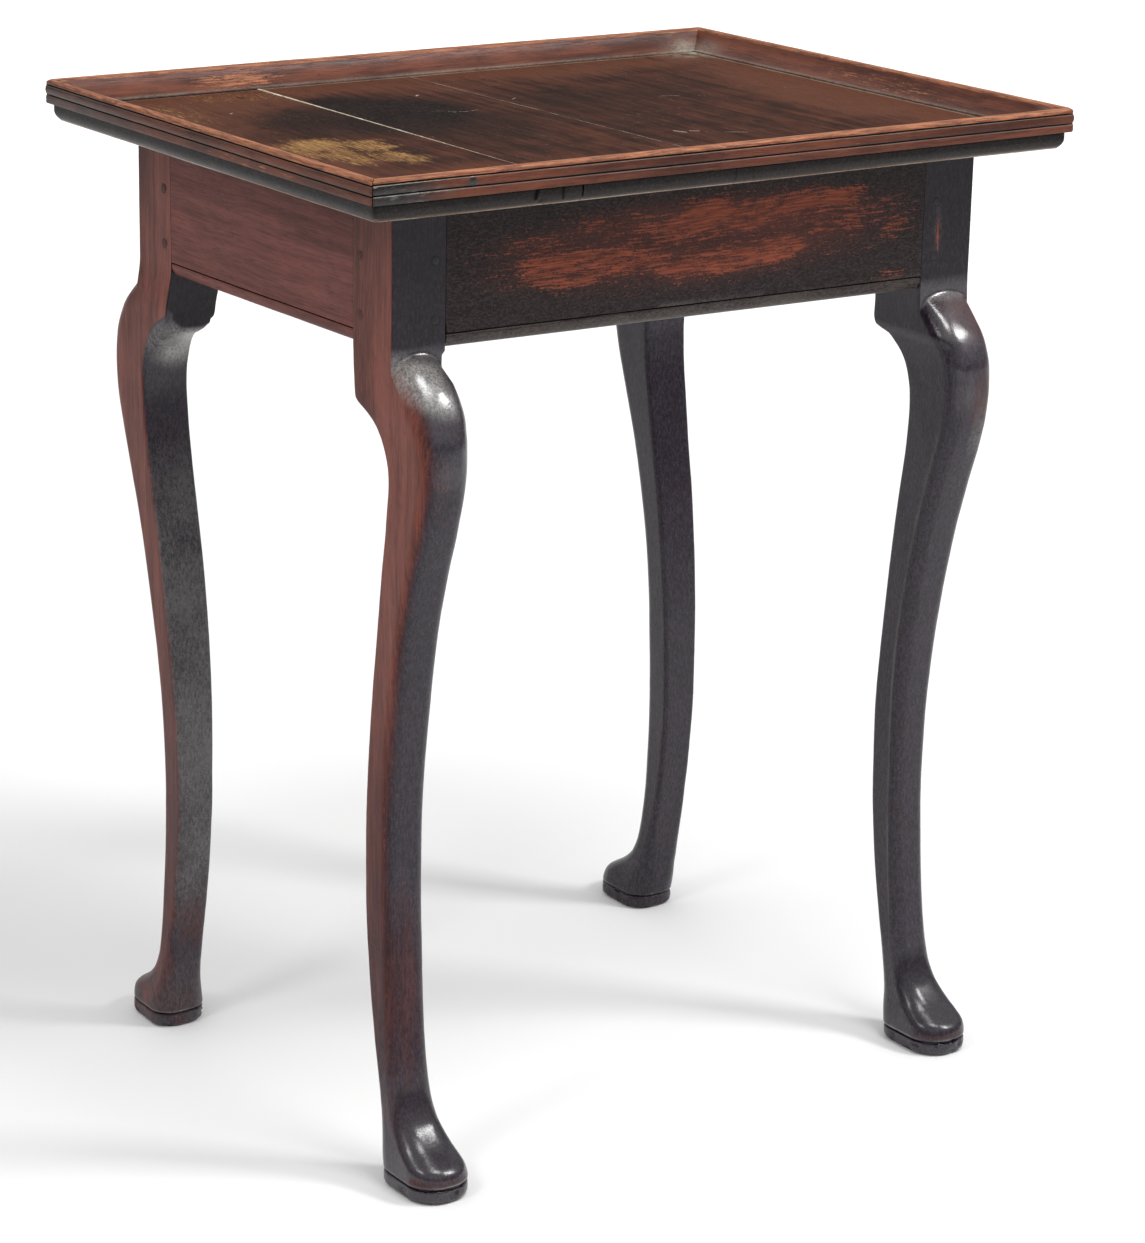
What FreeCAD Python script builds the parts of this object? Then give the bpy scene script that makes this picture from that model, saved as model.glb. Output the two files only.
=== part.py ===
import FreeCAD, Part
import Sketcher
import os

# Tray top tea table.
# Frame: origin on the floor at the middle of the table, +X along the long side,
# +Y to the back, +Z up. Millimetres.
# Each leg is one piece of wood from the top of its stile to the pad under its foot.
# It is square outside and curves only in the front-to-back plane.

V = FreeCAD.Vector
doc = FreeCAD.newDocument("tea_table")

# ---------------------------------------------------------------- driving dimensions
sheet = doc.addObject("Spreadsheet::Sheet", "dims")

DIMS = [
    # overall
    ("tray_len", 577.0), ("tray_dep", 443.0), ("height", 711.0),
    # frame: outer faces of the stiles, stile section, frieze
    ("frame_len", 483.0), ("frame_dep", 339.0),
    ("stile_wx", 41.0), ("stile_wy", 47.0), ("stile_bottom", 545.0),
    ("frieze_top", 682.0), ("frieze_bottom", 582.5), ("bead_high", 10.5),
    ("quirk", 1.2), ("bead_round", 7.85), ("rail_thick", 22.0),
    # mortise and tenon
    ("tenon_thick", 10.0), ("tenon_long", 26.0), ("tenon_in", 6.5),
    ("tenon_low", 596.0), ("tenon_high", 672.0), ("mortise_gap", 1.0),
    # pegs
    ("peg_rad", 3.0), ("peg_long", 22.0), ("peg_proud", 0.3),
    ("peg_back_x", 8.0), ("peg_back_y", 9.0), ("peg_high", 643.5), ("peg_low", 604.5),
    # top boards
    ("board_top", 694.0), ("edge_in", 4.7), ("edge_round_high", 689.0),
    ("edge_low_in", 8.2), ("edge_round", 8.75),
    ("seam_one_back", -124.5), ("seam_one_front", -127.5),
    ("seam_two_back", 4.5), ("seam_two_front", 9.5),
    ("seam_gap", 1.2), ("filler_deep", 4.0),
    # gallery moulding
    ("rim_base_in", 19.5), ("rim_base_up", 1.2), ("rim_slope_round", 34.0),
    ("crest_mid_in", 3.9), ("crest_rad", 3.2), ("crest_round", 3.4),
    ("quirk_in", 1.8), ("quirk_one", 706.95), ("band_top", 706.3),
    ("band_bottom", 700.3), ("band_round", 7.248), ("fillet_in", 0.35),
    ("fillet_top", 699.4), ("band_in", 0.65),
    # brads
    ("brad_rad", 0.9), ("brad_in", 12.5), ("brad_low", 684.0), ("brad_high", 700.2),
    ("brad_long_a", 70.0), ("brad_long_b", 205.0), ("brad_short_a", 140.0),
    # glue blocks
    ("block_side", 18.0), ("block_long", 55.0), ("block_far_x", 120.0),
    ("block_far_y", 62.0),
]

# Leg sections, from the floor up: height, inner and outer face across the table (X),
# inner and outer face front to back (Y), radius of the outer-Y corners, radius of the
# inner-Y corners. All are distances from the middle of the table.
SECTIONS = [
    (0.0, 202.6, 245.0, 150.0, 206.0, 19.5, 15.5),
    (2.6, 201.2, 246.4, 148.0, 208.2, 20.5, 16.5),
    (10.4, 202.4, 245.4, 148.6, 207.6, 20.0, 16.0),
    (12.0, 201.2, 246.6, 146.8, 208.4, 20.8, 16.8),
    (19.5, 202.6, 246.3, 145.9, 206.4, 20.2, 16.0),
    (27.0, 204.4, 245.5, 145.3, 197.4, 18.0, 14.5),
    (36.0, 206.2, 244.3, 145.1, 183.6, 14.5, 12.0),
    (47.0, 207.6, 243.1, 144.3, 172.6, 12.0, 9.5),
    (64.0, 208.6, 241.9, 141.6, 165.0, 10.5, 7.0),
    (100.0, 209.3, 240.9, 134.4, 159.6, 10.0, 5.5),
    (145.0, 208.9, 240.5, 127.8, 156.4, 10.0, 4.8),
    (195.0, 208.2, 240.4, 124.4, 154.8, 10.2, 4.4),
    (245.0, 207.4, 240.5, 125.4, 155.6, 10.8, 4.0),
    (295.0, 206.4, 240.8, 130.2, 159.4, 11.4, 3.7),
    (345.0, 205.6, 241.0, 136.6, 167.2, 11.6, 3.5),
    (396.0, 205.0, 241.2, 144.2, 177.8, 10.8, 3.5),
    (437.0, 204.6, 241.4, 150.6, 189.6, 10.0, 3.5),
    (467.0, 204.3, 241.5, 155.2, 200.0, 10.0, 3.3),
    (492.0, 204.1, 241.5, 157.0, 206.6, 10.8, 3.0),
    (512.0, 203.8, 241.5, 154.6, 208.6, 12.0, 2.8),
    (528.0, 203.4, 241.5, 148.6, 207.4, 13.0, 2.6),
    (540.0, 203.0, 241.5, 139.0, 203.2, 14.0, 2.4),
    (552.0, 202.6, 241.5, 127.5, 196.0, 15.0, 2.2),
    (564.0, 202.4, 241.4, 126.5, 184.4, 16.0, 2.2),
    (574.0, 202.6, 241.2, 126.5, 173.4, 16.5, 2.2),
    (583.0, 203.6, 240.4, 126.5, 163.0, 16.5, 2.2),
]
COLS = ("up", "xin", "xout", "yin", "yout", "rfar", "rnear")

row = 1
sheet.set("A1", "name")
sheet.set("B1", "value in mm")
VALUES = {}


def put(alias, value):
    global row
    row += 1
    sheet.set("A%d" % row, alias)
    sheet.set("B%d" % row, repr(float(value)))
    sheet.setAlias("B%d" % row, alias)
    VALUES[alias] = float(value)


for alias, value in DIMS:
    put(alias, value)
for n, section in enumerate(SECTIONS):
    for col, value in zip(COLS, section):
        put("leg_%02d_%s" % (n, col), value)
doc.recompute()


class Q:
    """A length with its value and the sheet expression that drives it."""

    def __init__(self, v, t):
        self.v = float(v)
        self.t = t

    def _of(o):
        return o if isinstance(o, Q) else Q(o, repr(float(o)))

    def __add__(self, o):
        o = Q._of(o)
        return Q(self.v + o.v, "(%s + %s)" % (self.t, o.t))

    def __sub__(self, o):
        o = Q._of(o)
        return Q(self.v - o.v, "(%s - %s)" % (self.t, o.t))

    def __mul__(self, o):
        o = Q._of(o)
        return Q(self.v * o.v, "(%s * %s)" % (self.t, o.t))

    def __truediv__(self, o):
        o = Q._of(o)
        return Q(self.v / o.v, "(%s / %s)" % (self.t, o.t))

    def __neg__(self):
        return Q(-self.v, "(0 - %s)" % self.t)

    def root(self):
        return Q(self.v ** 0.5, "sqrt(%s)" % self.t)


def D(alias):
    return Q(VALUES[alias], "dims." + alias)


# ---------------------------------------------------------------- helpers
def new_body(label):
    body = doc.addObject("PartDesign::Body", label)
    body.Label = label
    return body


def new_sketch(body, name, role, up=None):
    """A sketch on one of the body's own origin planes, moved along its normal by up."""
    plane = [f for f in body.Origin.OriginFeatures if f.Role == role][0]
    s = body.newObject("Sketcher::SketchObject", name)
    s.AttachmentSupport = [(plane, "")]
    s.MapMode = "FlatFace"
    if up is not None:
        s.AttachmentOffset = FreeCAD.Placement(V(0, 0, up.v), FreeCAD.Rotation())
        s.setExpression("AttachmentOffset.Base.z", up.t)
    return s


def pin(s, geo, pos, kind, q, name):
    """Ties one coordinate of a point to the sheet."""
    if q.v >= 0:
        i = s.addConstraint(Sketcher.Constraint(kind, -1, 1, geo, pos, q.v))
        t = q.t
    else:
        i = s.addConstraint(Sketcher.Constraint(kind, geo, pos, -1, 1, -q.v))
        t = "(0 - %s)" % q.t
    s.renameConstraint(i, name)
    s.setExpression("Constraints." + name, t)


def outline(s, points, arcs=None, tag="p"):
    """A closed outline through points (pairs of Q). arcs maps the index of a segment
    to (radius, sign): sign +1 puts the arc's centre to the left of its chord."""
    arcs = arcs or {}
    n = len(points)
    geos = []
    for i in range(n):
        a = V(points[i][0].v, points[i][1].v, 0)
        b = V(points[(i + 1) % n][0].v, points[(i + 1) % n][1].v, 0)
        if i in arcs:
            radius, sign = arcs[i]
            mid = (a + b) * 0.5
            half = (b - a).Length / 2
            d = (b - a).normalize()
            left = V(-d.y, d.x, 0)
            rise = max(radius.v ** 2 - half ** 2, 0.0) ** 0.5
            c = mid + left * (sign * rise)
            out = (mid - c)
            out = out.normalize() if out.Length > 1e-9 else left * (-sign)
            # a sketch holds every arc counter-clockwise
            if sign > 0:
                geos.append((s.addGeometry(Part.Arc(a, c + out * radius.v, b)), 1, 2))
            else:
                geos.append((s.addGeometry(Part.Arc(b, c + out * radius.v, a)), 2, 1))
        else:
            geos.append((s.addGeometry(Part.LineSegment(a, b)), 1, 2))
    for i in range(n):
        g, _, end = geos[i]
        h, start, _ = geos[(i + 1) % n]
        s.addConstraint(Sketcher.Constraint("Coincident", g, end, h, start))
    for i in range(n):
        g, start, _ = geos[i]
        pin(s, g, start, "DistanceX", points[i][0], "%s%dx" % (tag, i))
        pin(s, g, start, "DistanceY", points[i][1], "%s%dy" % (tag, i))
    for i, (radius, sign) in arcs.items():
        k = s.addConstraint(Sketcher.Constraint("Radius", geos[i][0], radius.v))
        nm = "%s%dr" % (tag, i)
        s.renameConstraint(k, nm)
        s.setExpression("Constraints." + nm, radius.t)


def pad(body, sketch, length, name, midplane=True, reverse=False):
    p = body.newObject("PartDesign::Pad", name)
    p.Profile = sketch
    p.Length = length.v
    p.setExpression("Length", length.t)
    p.Midplane = midplane
    p.Reversed = reverse
    return p


def pocket_through(body, sketch, name):
    p = body.newObject("PartDesign::Pocket", name)
    p.Profile = sketch
    p.Type = "ThroughAll"
    p.Midplane = True
    return p


def cyl(name, radius, length, base, axis):
    """A cylinder from base (three Q) along axis ('x+', 'x-', 'y+', 'y-' or 'z+')."""
    c = doc.addObject("Part::Cylinder", name)
    c.Radius = radius.v
    c.Height = length.v
    c.setExpression("Radius", radius.t)
    c.setExpression("Height", length.t)
    turn = {"z+": (V(0, 0, 1), 0), "x+": (V(0, 1, 0), 90), "x-": (V(0, 1, 0), -90),
            "y-": (V(1, 0, 0), 90), "y+": (V(1, 0, 0), -90)}[axis]
    c.Placement = FreeCAD.Placement(V(base[0].v, base[1].v, base[2].v),
                                    FreeCAD.Rotation(*turn))
    for k, q in zip("xyz", base):
        c.setExpression("Placement.Base." + k, q.t)
    return c


def box(name, low, size):
    b = doc.addObject("Part::Box", name)
    for prop, q in zip(("Length", "Width", "Height"), size):
        setattr(b, prop, q.v)
        b.setExpression(prop, q.t)
    b.Placement = FreeCAD.Placement(V(*[q.v for q in low]), FreeCAD.Rotation())
    for k, q in zip("xyz", low):
        b.setExpression("Placement.Base." + k, q.t)
    return b


def group(label, members):
    g = doc.addObject("Part::Compound", label)
    g.Label = label
    g.Links = members
    return g


def cut(label, base, tools):
    """base less all tools. The result is the finished piece."""
    tool = doc.addObject("Part::Compound", label + "_cuts")
    tool.Links = tools
    c = doc.addObject("Part::Cut", label)
    c.Label = label
    c.Base = base
    c.Tool = tool
    return c


def signed(q, sign):
    return q if sign > 0 else -q


NODES = []
half_x = D("frame_len") / 2
half_y = D("frame_dep") / 2
tray_x = D("tray_len") / 2
tray_y = D("tray_dep") / 2
SIDES = {"front": -1, "back": 1, "left": -1, "right": 1}

# ---------------------------------------------------------------- pegs
# Two oak pegs through each of the eight mortise and tenon joints. They are grouped by
# the face that they show on.
peg_start = D("peg_proud")
PEGS = {"front": [], "back": [], "left": [], "right": []}
LEG_PEGS = {}
for side in ("front", "back"):
    for hand in ("left", "right"):
        for level in ("high", "low"):
            sy, sx = SIDES[side], SIDES[hand]
            x = half_x - D("stile_wx") + D("peg_back_x")
            y = half_y + peg_start
            c = cyl("peg_%s_%s_%s" % (side, hand, level), D("peg_rad"),
                    D("peg_long") + peg_start,
                    (signed(x, sx), signed(y, sy), D("peg_" + level)),
                    "y+" if sy < 0 else "y-")
            PEGS[side].append(c)
            LEG_PEGS.setdefault((side, hand), []).append(c)
for side in ("left", "right"):
    for hand in ("front", "back"):
        for level in ("high", "low"):
            sx, sy = SIDES[side], SIDES[hand]
            y = half_y - D("stile_wy") + D("peg_back_y")
            x = half_x + peg_start
            c = cyl("peg_%s_%s_%s" % (side, hand, level), D("peg_rad"),
                    D("peg_long") + peg_start,
                    (signed(x, sx), signed(y, sy), D("peg_" + level)),
                    "x+" if sx < 0 else "x-")
            PEGS[side].append(c)
            LEG_PEGS.setdefault((hand, side), []).append(c)
for side in ("front", "back", "left", "right"):
    NODES.append(group("pegs_" + side, PEGS[side]))

# ---------------------------------------------------------------- legs
for fb in ("front", "back"):
    for lr in ("left", "right"):
        sx, sy = SIDES[lr], SIDES[fb]
        label = "leg_%s_%s" % (fb, lr)
        body = new_body(label + "_blank")
        sketches = []
        for n in range(len(SECTIONS)):
            a = "leg_%02d_" % n
            xi, xo = D(a + "xin"), D(a + "xout")
            yi, yo = D(a + "yin"), D(a + "yout")
            rf, rn = D(a + "rfar"), D(a + "rnear")
            s = new_sketch(body, "%s_s%02d" % (label, n), "XY_Plane", D(a + "up"))
            pts = [(xi + rn, yi), (xo - rn, yi), (xo, yi + rn), (xo, yo - rf),
                   (xo - rf, yo), (xi + rf, yo), (xi, yo - rf), (xi, yi + rn)]
            pts = [(signed(p, sx), signed(q, sy)) for p, q in pts]
            corners = {1: (rn, 1), 3: (rf, 1), 5: (rf, 1), 7: (rn, 1)}
            if sx * sy < 0:
                # keep every section counter-clockwise
                pts = pts[::-1]
                corners = {(6 - k) % 8: v for k, v in corners.items()}
            outline(s, pts, corners)
            sketches.append(s)
        # the thin pad under the foot: an eased lower edge, a straight band, a groove
        ease = body.newObject("PartDesign::AdditiveLoft", label + "_pad_ease")
        ease.Profile = sketches[0]
        ease.Sections = [sketches[1]]
        ease.Ruled = True
        pad(body, sketches[1], D("leg_02_up") - D("leg_01_up"), label + "_pad_band", False)
        pad(body, sketches[2], D("leg_03_up") - D("leg_02_up"), label + "_pad_groove", False)
        # foot, ankle, leg and knee
        loft = body.newObject("PartDesign::AdditiveLoft", label + "_loft")
        loft.Profile = sketches[3]
        loft.Sections = sketches[4:]
        loft.Ruled = False
        # the square stile, down to its step behind the knee
        s = new_sketch(body, label + "_stile", "XY_Plane", D("stile_bottom"))
        xa, xb = half_x - D("stile_wx"), half_x
        ya, yb = half_y - D("stile_wy"), half_y
        pts = [(xa, ya), (xb, ya), (xb, yb), (xa, yb)]
        outline(s, [(signed(p, sx), signed(q, sy)) for p, q in pts])
        pad(body, s, D("frieze_top") - D("stile_bottom"), label + "_stile_pad", False)
        # mortises for the long rail's and the short rail's tenons
        deep = D("tenon_long") + D("mortise_gap")
        tall = D("tenon_high") - D("tenon_low")
        mx = xa if sx > 0 else -(xa + deep)
        my = (half_y - D("tenon_in") - D("tenon_thick")) if sy > 0 else -(half_y - D("tenon_in"))
        m1 = box(label + "_mortise_x", (mx, my, D("tenon_low")), (deep, D("tenon_thick"), tall))
        mx = (half_x - D("tenon_in") - D("tenon_thick")) if sx > 0 else -(half_x - D("tenon_in"))
        my = ya if sy > 0 else -(ya + deep)
        m2 = box(label + "_mortise_y", (mx, my, D("tenon_low")), (D("tenon_thick"), deep, tall))
        NODES.append(cut(label, body, [m1, m2] + LEG_PEGS[(fb, lr)]))

# ---------------------------------------------------------------- frieze rails
# Section: flat outer face, a quirk, and a rounded bead along the lower edge.
def rail(name, plane, half_out, sgn, shoulder, pegs):
    body = new_body(name + "_blank")
    s = new_sketch(body, name + "_section", plane)
    out, inn = half_out, half_out - D("rail_thick")
    low, high = D("frieze_bottom"), D("frieze_top")
    q = low + D("bead_high")
    pts = [(inn, high), (inn, low), (out - D("bead_round") - 0.4, low), (out - 0.4, q - D("quirk")),
           (out - 1.6, q - D("quirk") * 0.5), (out, q), (out, high)]
    pts = [(signed(a, sgn), b) for a, b in pts]
    outline(s, pts, {2: (D("bead_round") + 0.35, 1 if sgn > 0 else -1)})
    pad(body, s, shoulder * 2, name + "_pad")
    t = new_sketch(body, name + "_tenon_section", plane)
    ta, tb = half_out - D("tenon_in") - D("tenon_thick"), half_out - D("tenon_in")
    pts = [(ta, D("tenon_low")), (tb, D("tenon_low")), (tb, D("tenon_high")), (ta, D("tenon_high"))]
    outline(t, [(signed(a, sgn), b) for a, b in pts])
    pad(body, t, (shoulder + D("tenon_long")) * 2, name + "_tenons")
    NODES.append(cut(name, body, pegs))


for side in ("front", "back"):
    rail("rail_" + side, "YZ_Plane", half_y, SIDES[side], half_x - D("stile_wx"), PEGS[side])
for side in ("left", "right"):
    rail("rail_" + side, "XZ_Plane", half_x, SIDES[side], half_y - D("stile_wy"), PEGS[side])

# ---------------------------------------------------------------- brads in the gallery
BRADS = {"front": [], "back": [], "left": [], "right": []}
long_y = tray_y - D("brad_in")
short_x = tray_x - D("brad_in")
brad_high = D("brad_high") - D("brad_low")
for side in ("front", "back"):
    for k, q in enumerate((-D("brad_long_b"), -D("brad_long_a"), D("brad_long_a"), D("brad_long_b"))):
        BRADS[side].append(cyl("brad_%s_%d" % (side, k), D("brad_rad"), brad_high,
                               (q, signed(long_y, SIDES[side]), D("brad_low")), "z+"))
for side in ("left", "right"):
    for k, q in enumerate((-D("brad_short_a"), Q(0.0, "0"), D("brad_short_a"))):
        BRADS[side].append(cyl("brad_%s_%d" % (side, k), D("brad_rad"), brad_high,
                               (signed(short_x, SIDES[side]), q, D("brad_low")), "z+"))
ALL_BRADS = [b for side in ("front", "back", "left", "right") for b in BRADS[side]]
NODES.append(group("gallery_brads", ALL_BRADS))

# ---------------------------------------------------------------- top boards
# Three boards with their seams running front to back. The outer edges are moulded: they
# stand upright below the gallery and then turn in with a quarter round.
def edge_cut(s, half, sgn, tag):
    """The waste outside the edge moulding, as an outline in the section plane."""
    far = half + 3
    pts = [(far, D("edge_round_high")), (far, D("frieze_top") - 3),
           (half - D("edge_low_in"), D("frieze_top") - 3),
           (half - D("edge_low_in"), D("frieze_top")),
           (half - D("edge_in"), D("edge_round_high"))]
    pts = [(signed(a, sgn), b) for a, b in pts]
    outline(s, pts, {3: (D("edge_round"), 1 if sgn > 0 else -1)}, tag)


def board(name, corners, cuts_x, brads):
    body = new_body(name + "_blank")
    s = new_sketch(body, name + "_plan", "XY_Plane", D("frieze_top"))
    outline(s, corners)
    pad(body, s, D("board_top") - D("frieze_top"), name + "_pad", False)
    s = new_sketch(body, name + "_edge_y", "YZ_Plane")
    edge_cut(s, tray_y, -1, "f")
    edge_cut(s, tray_y, 1, "b")
    pocket_through(body, s, name + "_edge_y_cut")
    if cuts_x:
        s = new_sketch(body, name + "_edge_x", "XZ_Plane")
        edge_cut(s, tray_x, cuts_x, "e")
        pocket_through(body, s, name + "_edge_x_cut")
    NODES.append(cut(name, body, brads))


ex, ey = tray_x - D("edge_in"), tray_y - D("edge_in")
gap = D("seam_gap") / 2
s1b, s1f = D("seam_one_back"), D("seam_one_front")
s2b, s2f = D("seam_two_back"), D("seam_two_front")
board("top_board_left", [(-ex, -ey), (s1f - gap, -ey), (s1b - gap, ey), (-ex, ey)], -1,
      BRADS["left"] + [BRADS["front"][0], BRADS["back"][0]])
board("top_board_middle", [(s1f + gap, -ey), (s2f, -ey), (s2b, ey), (s1b + gap, ey)], 0,
      [BRADS["front"][1], BRADS["back"][1]])
board("top_board_right", [(s2f, -ey), (ex, -ey), (ex, ey), (s2b, ey)], 1,
      BRADS["right"] + BRADS["front"][2:] + BRADS["back"][2:])
# the filler strip that fills the open seam between the left and middle boards
fill = new_body("seam_filler")
s = new_sketch(fill, "seam_filler_plan", "XY_Plane", D("board_top") - D("filler_deep"))
ry = tray_y - D("rim_base_in")
run = (s1b - s1f) / (ey * 2)
off = run * (ey - ry)
outline(s, [(s1f + off - gap, -ry), (s1f + off + gap, -ry), (s1b - off + gap, ry), (s1b - off - gap, ry)])
pad(fill, s, D("filler_deep"), "seam_filler_pad", False)
NODES.append(fill)

# ---------------------------------------------------------------- gallery mouldings
# Section from outside in: a half-round crest, a quirk, a broad rounded band, a second
# quirk, a narrow fillet, and on the tray side a hollow slope down to the boards.
def gallery(name, plane, half, other, sgn, brads):
    body = new_body(name + "_blank")
    s = new_sketch(body, name + "_section", plane)
    top, base = D("height"), D("board_top")
    mid = half - D("crest_mid_in")
    r = D("crest_rad")
    # the crest's arc springs from here, so that its top is at the table's height
    spring = top - D("crest_round") + (D("crest_round") * D("crest_round") - r * r).root()
    pts = [(half - D("rim_base_in"), base), (half - D("fillet_in"), base),
           (half - D("fillet_in"), D("fillet_top")), (half - D("quirk_in"), (D("fillet_top") + D("band_bottom")) / 2),
           (half - D("band_in"), D("band_bottom")), (half - D("band_in"), D("band_top")),
           (half - D("quirk_in"), (D("band_top") + D("quirk_one")) / 2), (mid + r, spring - 2),
           (mid + r, spring), (mid - r, spring),
           (half - D("rim_base_in"), base + D("rim_base_up"))]
    pts = [(signed(a, sgn), b) for a, b in pts]
    turn = 1 if sgn > 0 else -1
    outline(s, pts, {4: (D("band_round"), turn), 8: (D("crest_round"), turn),
                     9: (D("rim_slope_round"), -turn)})
    pad(body, s, other * 2, name + "_pad")
    # mitred ends at 45 degrees
    s = new_sketch(body, name + "_mitres", "XY_Plane", D("board_top"))
    far, near, end = half + 2, half - 26, other
    for k, e in enumerate((-1, 1)):
        pts = [(end + 2, far), (end + 2, near), (end - 26, near)]
        pts = [(signed(a, e), signed(b, sgn)) for a, b in pts]
        if plane == "XZ_Plane":
            pts = [(b, a) for a, b in pts]
        outline(s, pts, None, "m%d" % k)
    pocket_through(body, s, name + "_mitre_cut")
    NODES.append(cut(name, body, brads))


for side in ("front", "back"):
    gallery("gallery_" + side, "YZ_Plane", tray_y, tray_x, SIDES[side], BRADS[side])
for side in ("left", "right"):
    gallery("gallery_" + side, "XZ_Plane", tray_x, tray_y, SIDES[side], BRADS[side])

# ---------------------------------------------------------------- glue blocks
# Triangular blocks rubbed into the corner between the rails and the boards.
def blocks(name, plane, half_out, sgn, places):
    made = []
    for k, place in enumerate(places):
        body = new_body("%s_%d" % (name, k))
        s = new_sketch(body, "%s_%d_section" % (name, k), plane,
                       place if plane == "YZ_Plane" else -place)
        a = half_out - D("rail_thick")
        pts = [(a, D("frieze_top")), (a - D("block_side"), D("frieze_top")),
               (a - D("block_side"), D("frieze_top") - 5), (a - 5, D("frieze_top") - D("block_side")),
               (a, D("frieze_top") - D("block_side"))]
        outline(s, [(signed(p, sgn), q) for p, q in pts])
        pad(body, s, D("block_long"), "%s_%d_pad" % (name, k))
        made.append(body)
    NODES.append(group(name, made))


for side in ("front", "back"):
    blocks("glue_blocks_" + side, "YZ_Plane", half_y, SIDES[side],
           [-D("block_far_x"), Q(0.0, "0"), D("block_far_x")])
for side in ("left", "right"):
    blocks("glue_blocks_" + side, "XZ_Plane", half_x, SIDES[side],
           [-D("block_far_y"), D("block_far_y")])

# ---------------------------------------------------------------- checks and files
doc.recompute()
faults = []
for o in doc.Objects:
    if any(w in o.State for w in ("Invalid", "Error")):
        faults.append("%s: %s" % (o.Label, o.State))
names = [n.Label for n in NODES]
if len(set(names)) != len(names):
    faults.append("two sub-parts share a Label")
for n in NODES:
    if n.Shape.isNull() or not n.Shape.isValid():
        faults.append(n.Label + " has no valid shape")
    elif not n.Shape.Solids:
        faults.append(n.Label + " has no solid")
if faults:
    raise SystemExit("\n".join(faults))

os.makedirs("parts", exist_ok=True)
for n in NODES:
    n.Shape.exportStep(os.path.join("parts", n.Label + ".step"))
    bb = n.Shape.BoundBox
    print("%-20s solids %2d volume %10.1f  x %.1f %.1f  y %.1f %.1f  z %.1f %.1f" % (
        n.Label, len(n.Shape.Solids), n.Shape.Volume,
        bb.XMin, bb.XMax, bb.YMin, bb.YMax, bb.ZMin, bb.ZMax))
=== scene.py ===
import bpy
import bmesh
import math
import numpy as np
from mathutils import Matrix, Vector


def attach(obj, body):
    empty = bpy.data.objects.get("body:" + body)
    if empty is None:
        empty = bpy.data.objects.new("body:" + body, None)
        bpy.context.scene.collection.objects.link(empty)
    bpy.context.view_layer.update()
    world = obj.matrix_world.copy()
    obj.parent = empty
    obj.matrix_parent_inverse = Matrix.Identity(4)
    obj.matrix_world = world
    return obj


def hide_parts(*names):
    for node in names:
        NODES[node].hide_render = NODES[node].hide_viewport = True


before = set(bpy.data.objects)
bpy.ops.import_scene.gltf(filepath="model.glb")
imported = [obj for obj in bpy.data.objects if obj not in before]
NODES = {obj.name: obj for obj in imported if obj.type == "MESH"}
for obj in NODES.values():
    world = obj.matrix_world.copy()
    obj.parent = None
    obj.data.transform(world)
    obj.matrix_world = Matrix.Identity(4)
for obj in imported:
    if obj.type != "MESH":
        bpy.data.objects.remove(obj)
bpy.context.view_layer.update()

# World frame: X along the long side, Y to the back, Z up. Shapes are worked out in
# millimetres and written to meshes in metres. Every object's origin is the world's, so
# object coordinates in the materials are metres from the middle of the table.
TX, TY = 288.5, 221.5          # half the tray
FX, FY = 241.5, 169.5          # half the frame
SX, SY = 200.5, 122.5          # inner faces of the stiles
TOP, BOARD, FRIEZE = 711.0, 694.0, 682.0


# ---------------------------------------------------------------- numbers
def _hash(i, j, k, seed):
    with np.errstate(over="ignore"):
        n = (i * 73856093) ^ (j * 19349663) ^ (k * 83492791) ^ (seed * 374761393)
        n = n & 0xFFFFFFFF
        n = ((n ^ (n >> 15)) * 2246822519) & 0xFFFFFFFF
        n = ((n ^ (n >> 13)) * 3266489917) & 0xFFFFFFFF
    n = n ^ (n >> 16)
    return n / 2147483647.5 - 1.0


def vnoise(p, seed=0):
    """Smooth value noise from -1 to 1 at points p (..., 3)."""
    p = np.asarray(p, float)
    i = np.floor(p).astype(np.int64)
    f = p - i
    u = f * f * f * (f * (f * 6 - 15) + 10)
    out = 0.0
    for a in (0, 1):
        wa = u[..., 0] if a else 1 - u[..., 0]
        for b in (0, 1):
            wb = u[..., 1] if b else 1 - u[..., 1]
            for c in (0, 1):
                wc = u[..., 2] if c else 1 - u[..., 2]
                out = out + wa * wb * wc * _hash(i[..., 0] + a, i[..., 1] + b, i[..., 2] + c, seed)
    return out


def fbm(p, seed=0, octaves=3, gain=0.5):
    p = np.asarray(p, float)
    out, amp, total = 0.0, 1.0, 0.0
    for o in range(octaves):
        out = out + amp * vnoise(p * 2.03 ** o + 17.3 * o, seed + o * 7)
        total += amp
        amp *= gain
    return out / total


def noise1(t, seed=0, octaves=2):
    t = np.asarray(t, float)
    return fbm(np.stack([t, t * 0 + 0.37, t * 0 + 0.71], -1), seed, octaves)


def pchip(pairs):
    x = np.array([p[0] for p in pairs], float)
    y = np.array([p[1] for p in pairs], float)
    h = np.diff(x)
    dl = np.diff(y) / h
    m = np.zeros_like(y)
    for i in range(1, len(x) - 1):
        if dl[i - 1] * dl[i] > 0:
            w1, w2 = 2 * h[i] + h[i - 1], h[i] + 2 * h[i - 1]
            m[i] = (w1 + w2) / (w1 / dl[i - 1] + w2 / dl[i])
    m[0], m[-1] = dl[0], dl[-1]

    def f(t):
        t = np.asarray(t, float)
        i = np.clip(np.searchsorted(x, t) - 1, 0, len(x) - 2)
        s = np.clip((t - x[i]) / h[i], 0, 1)
        s2, s3 = s * s, s * s * s
        return ((2 * s3 - 3 * s2 + 1) * y[i] + (s3 - 2 * s2 + s) * h[i] * m[i]
                + (-2 * s3 + 3 * s2) * y[i + 1] + (s3 - s2) * h[i] * m[i + 1])
    return f


def sstep(a, b, t):
    t = np.clip((np.asarray(t, float) - a) / (b - a), 0, 1)
    return t * t * (3 - 2 * t)


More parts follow.
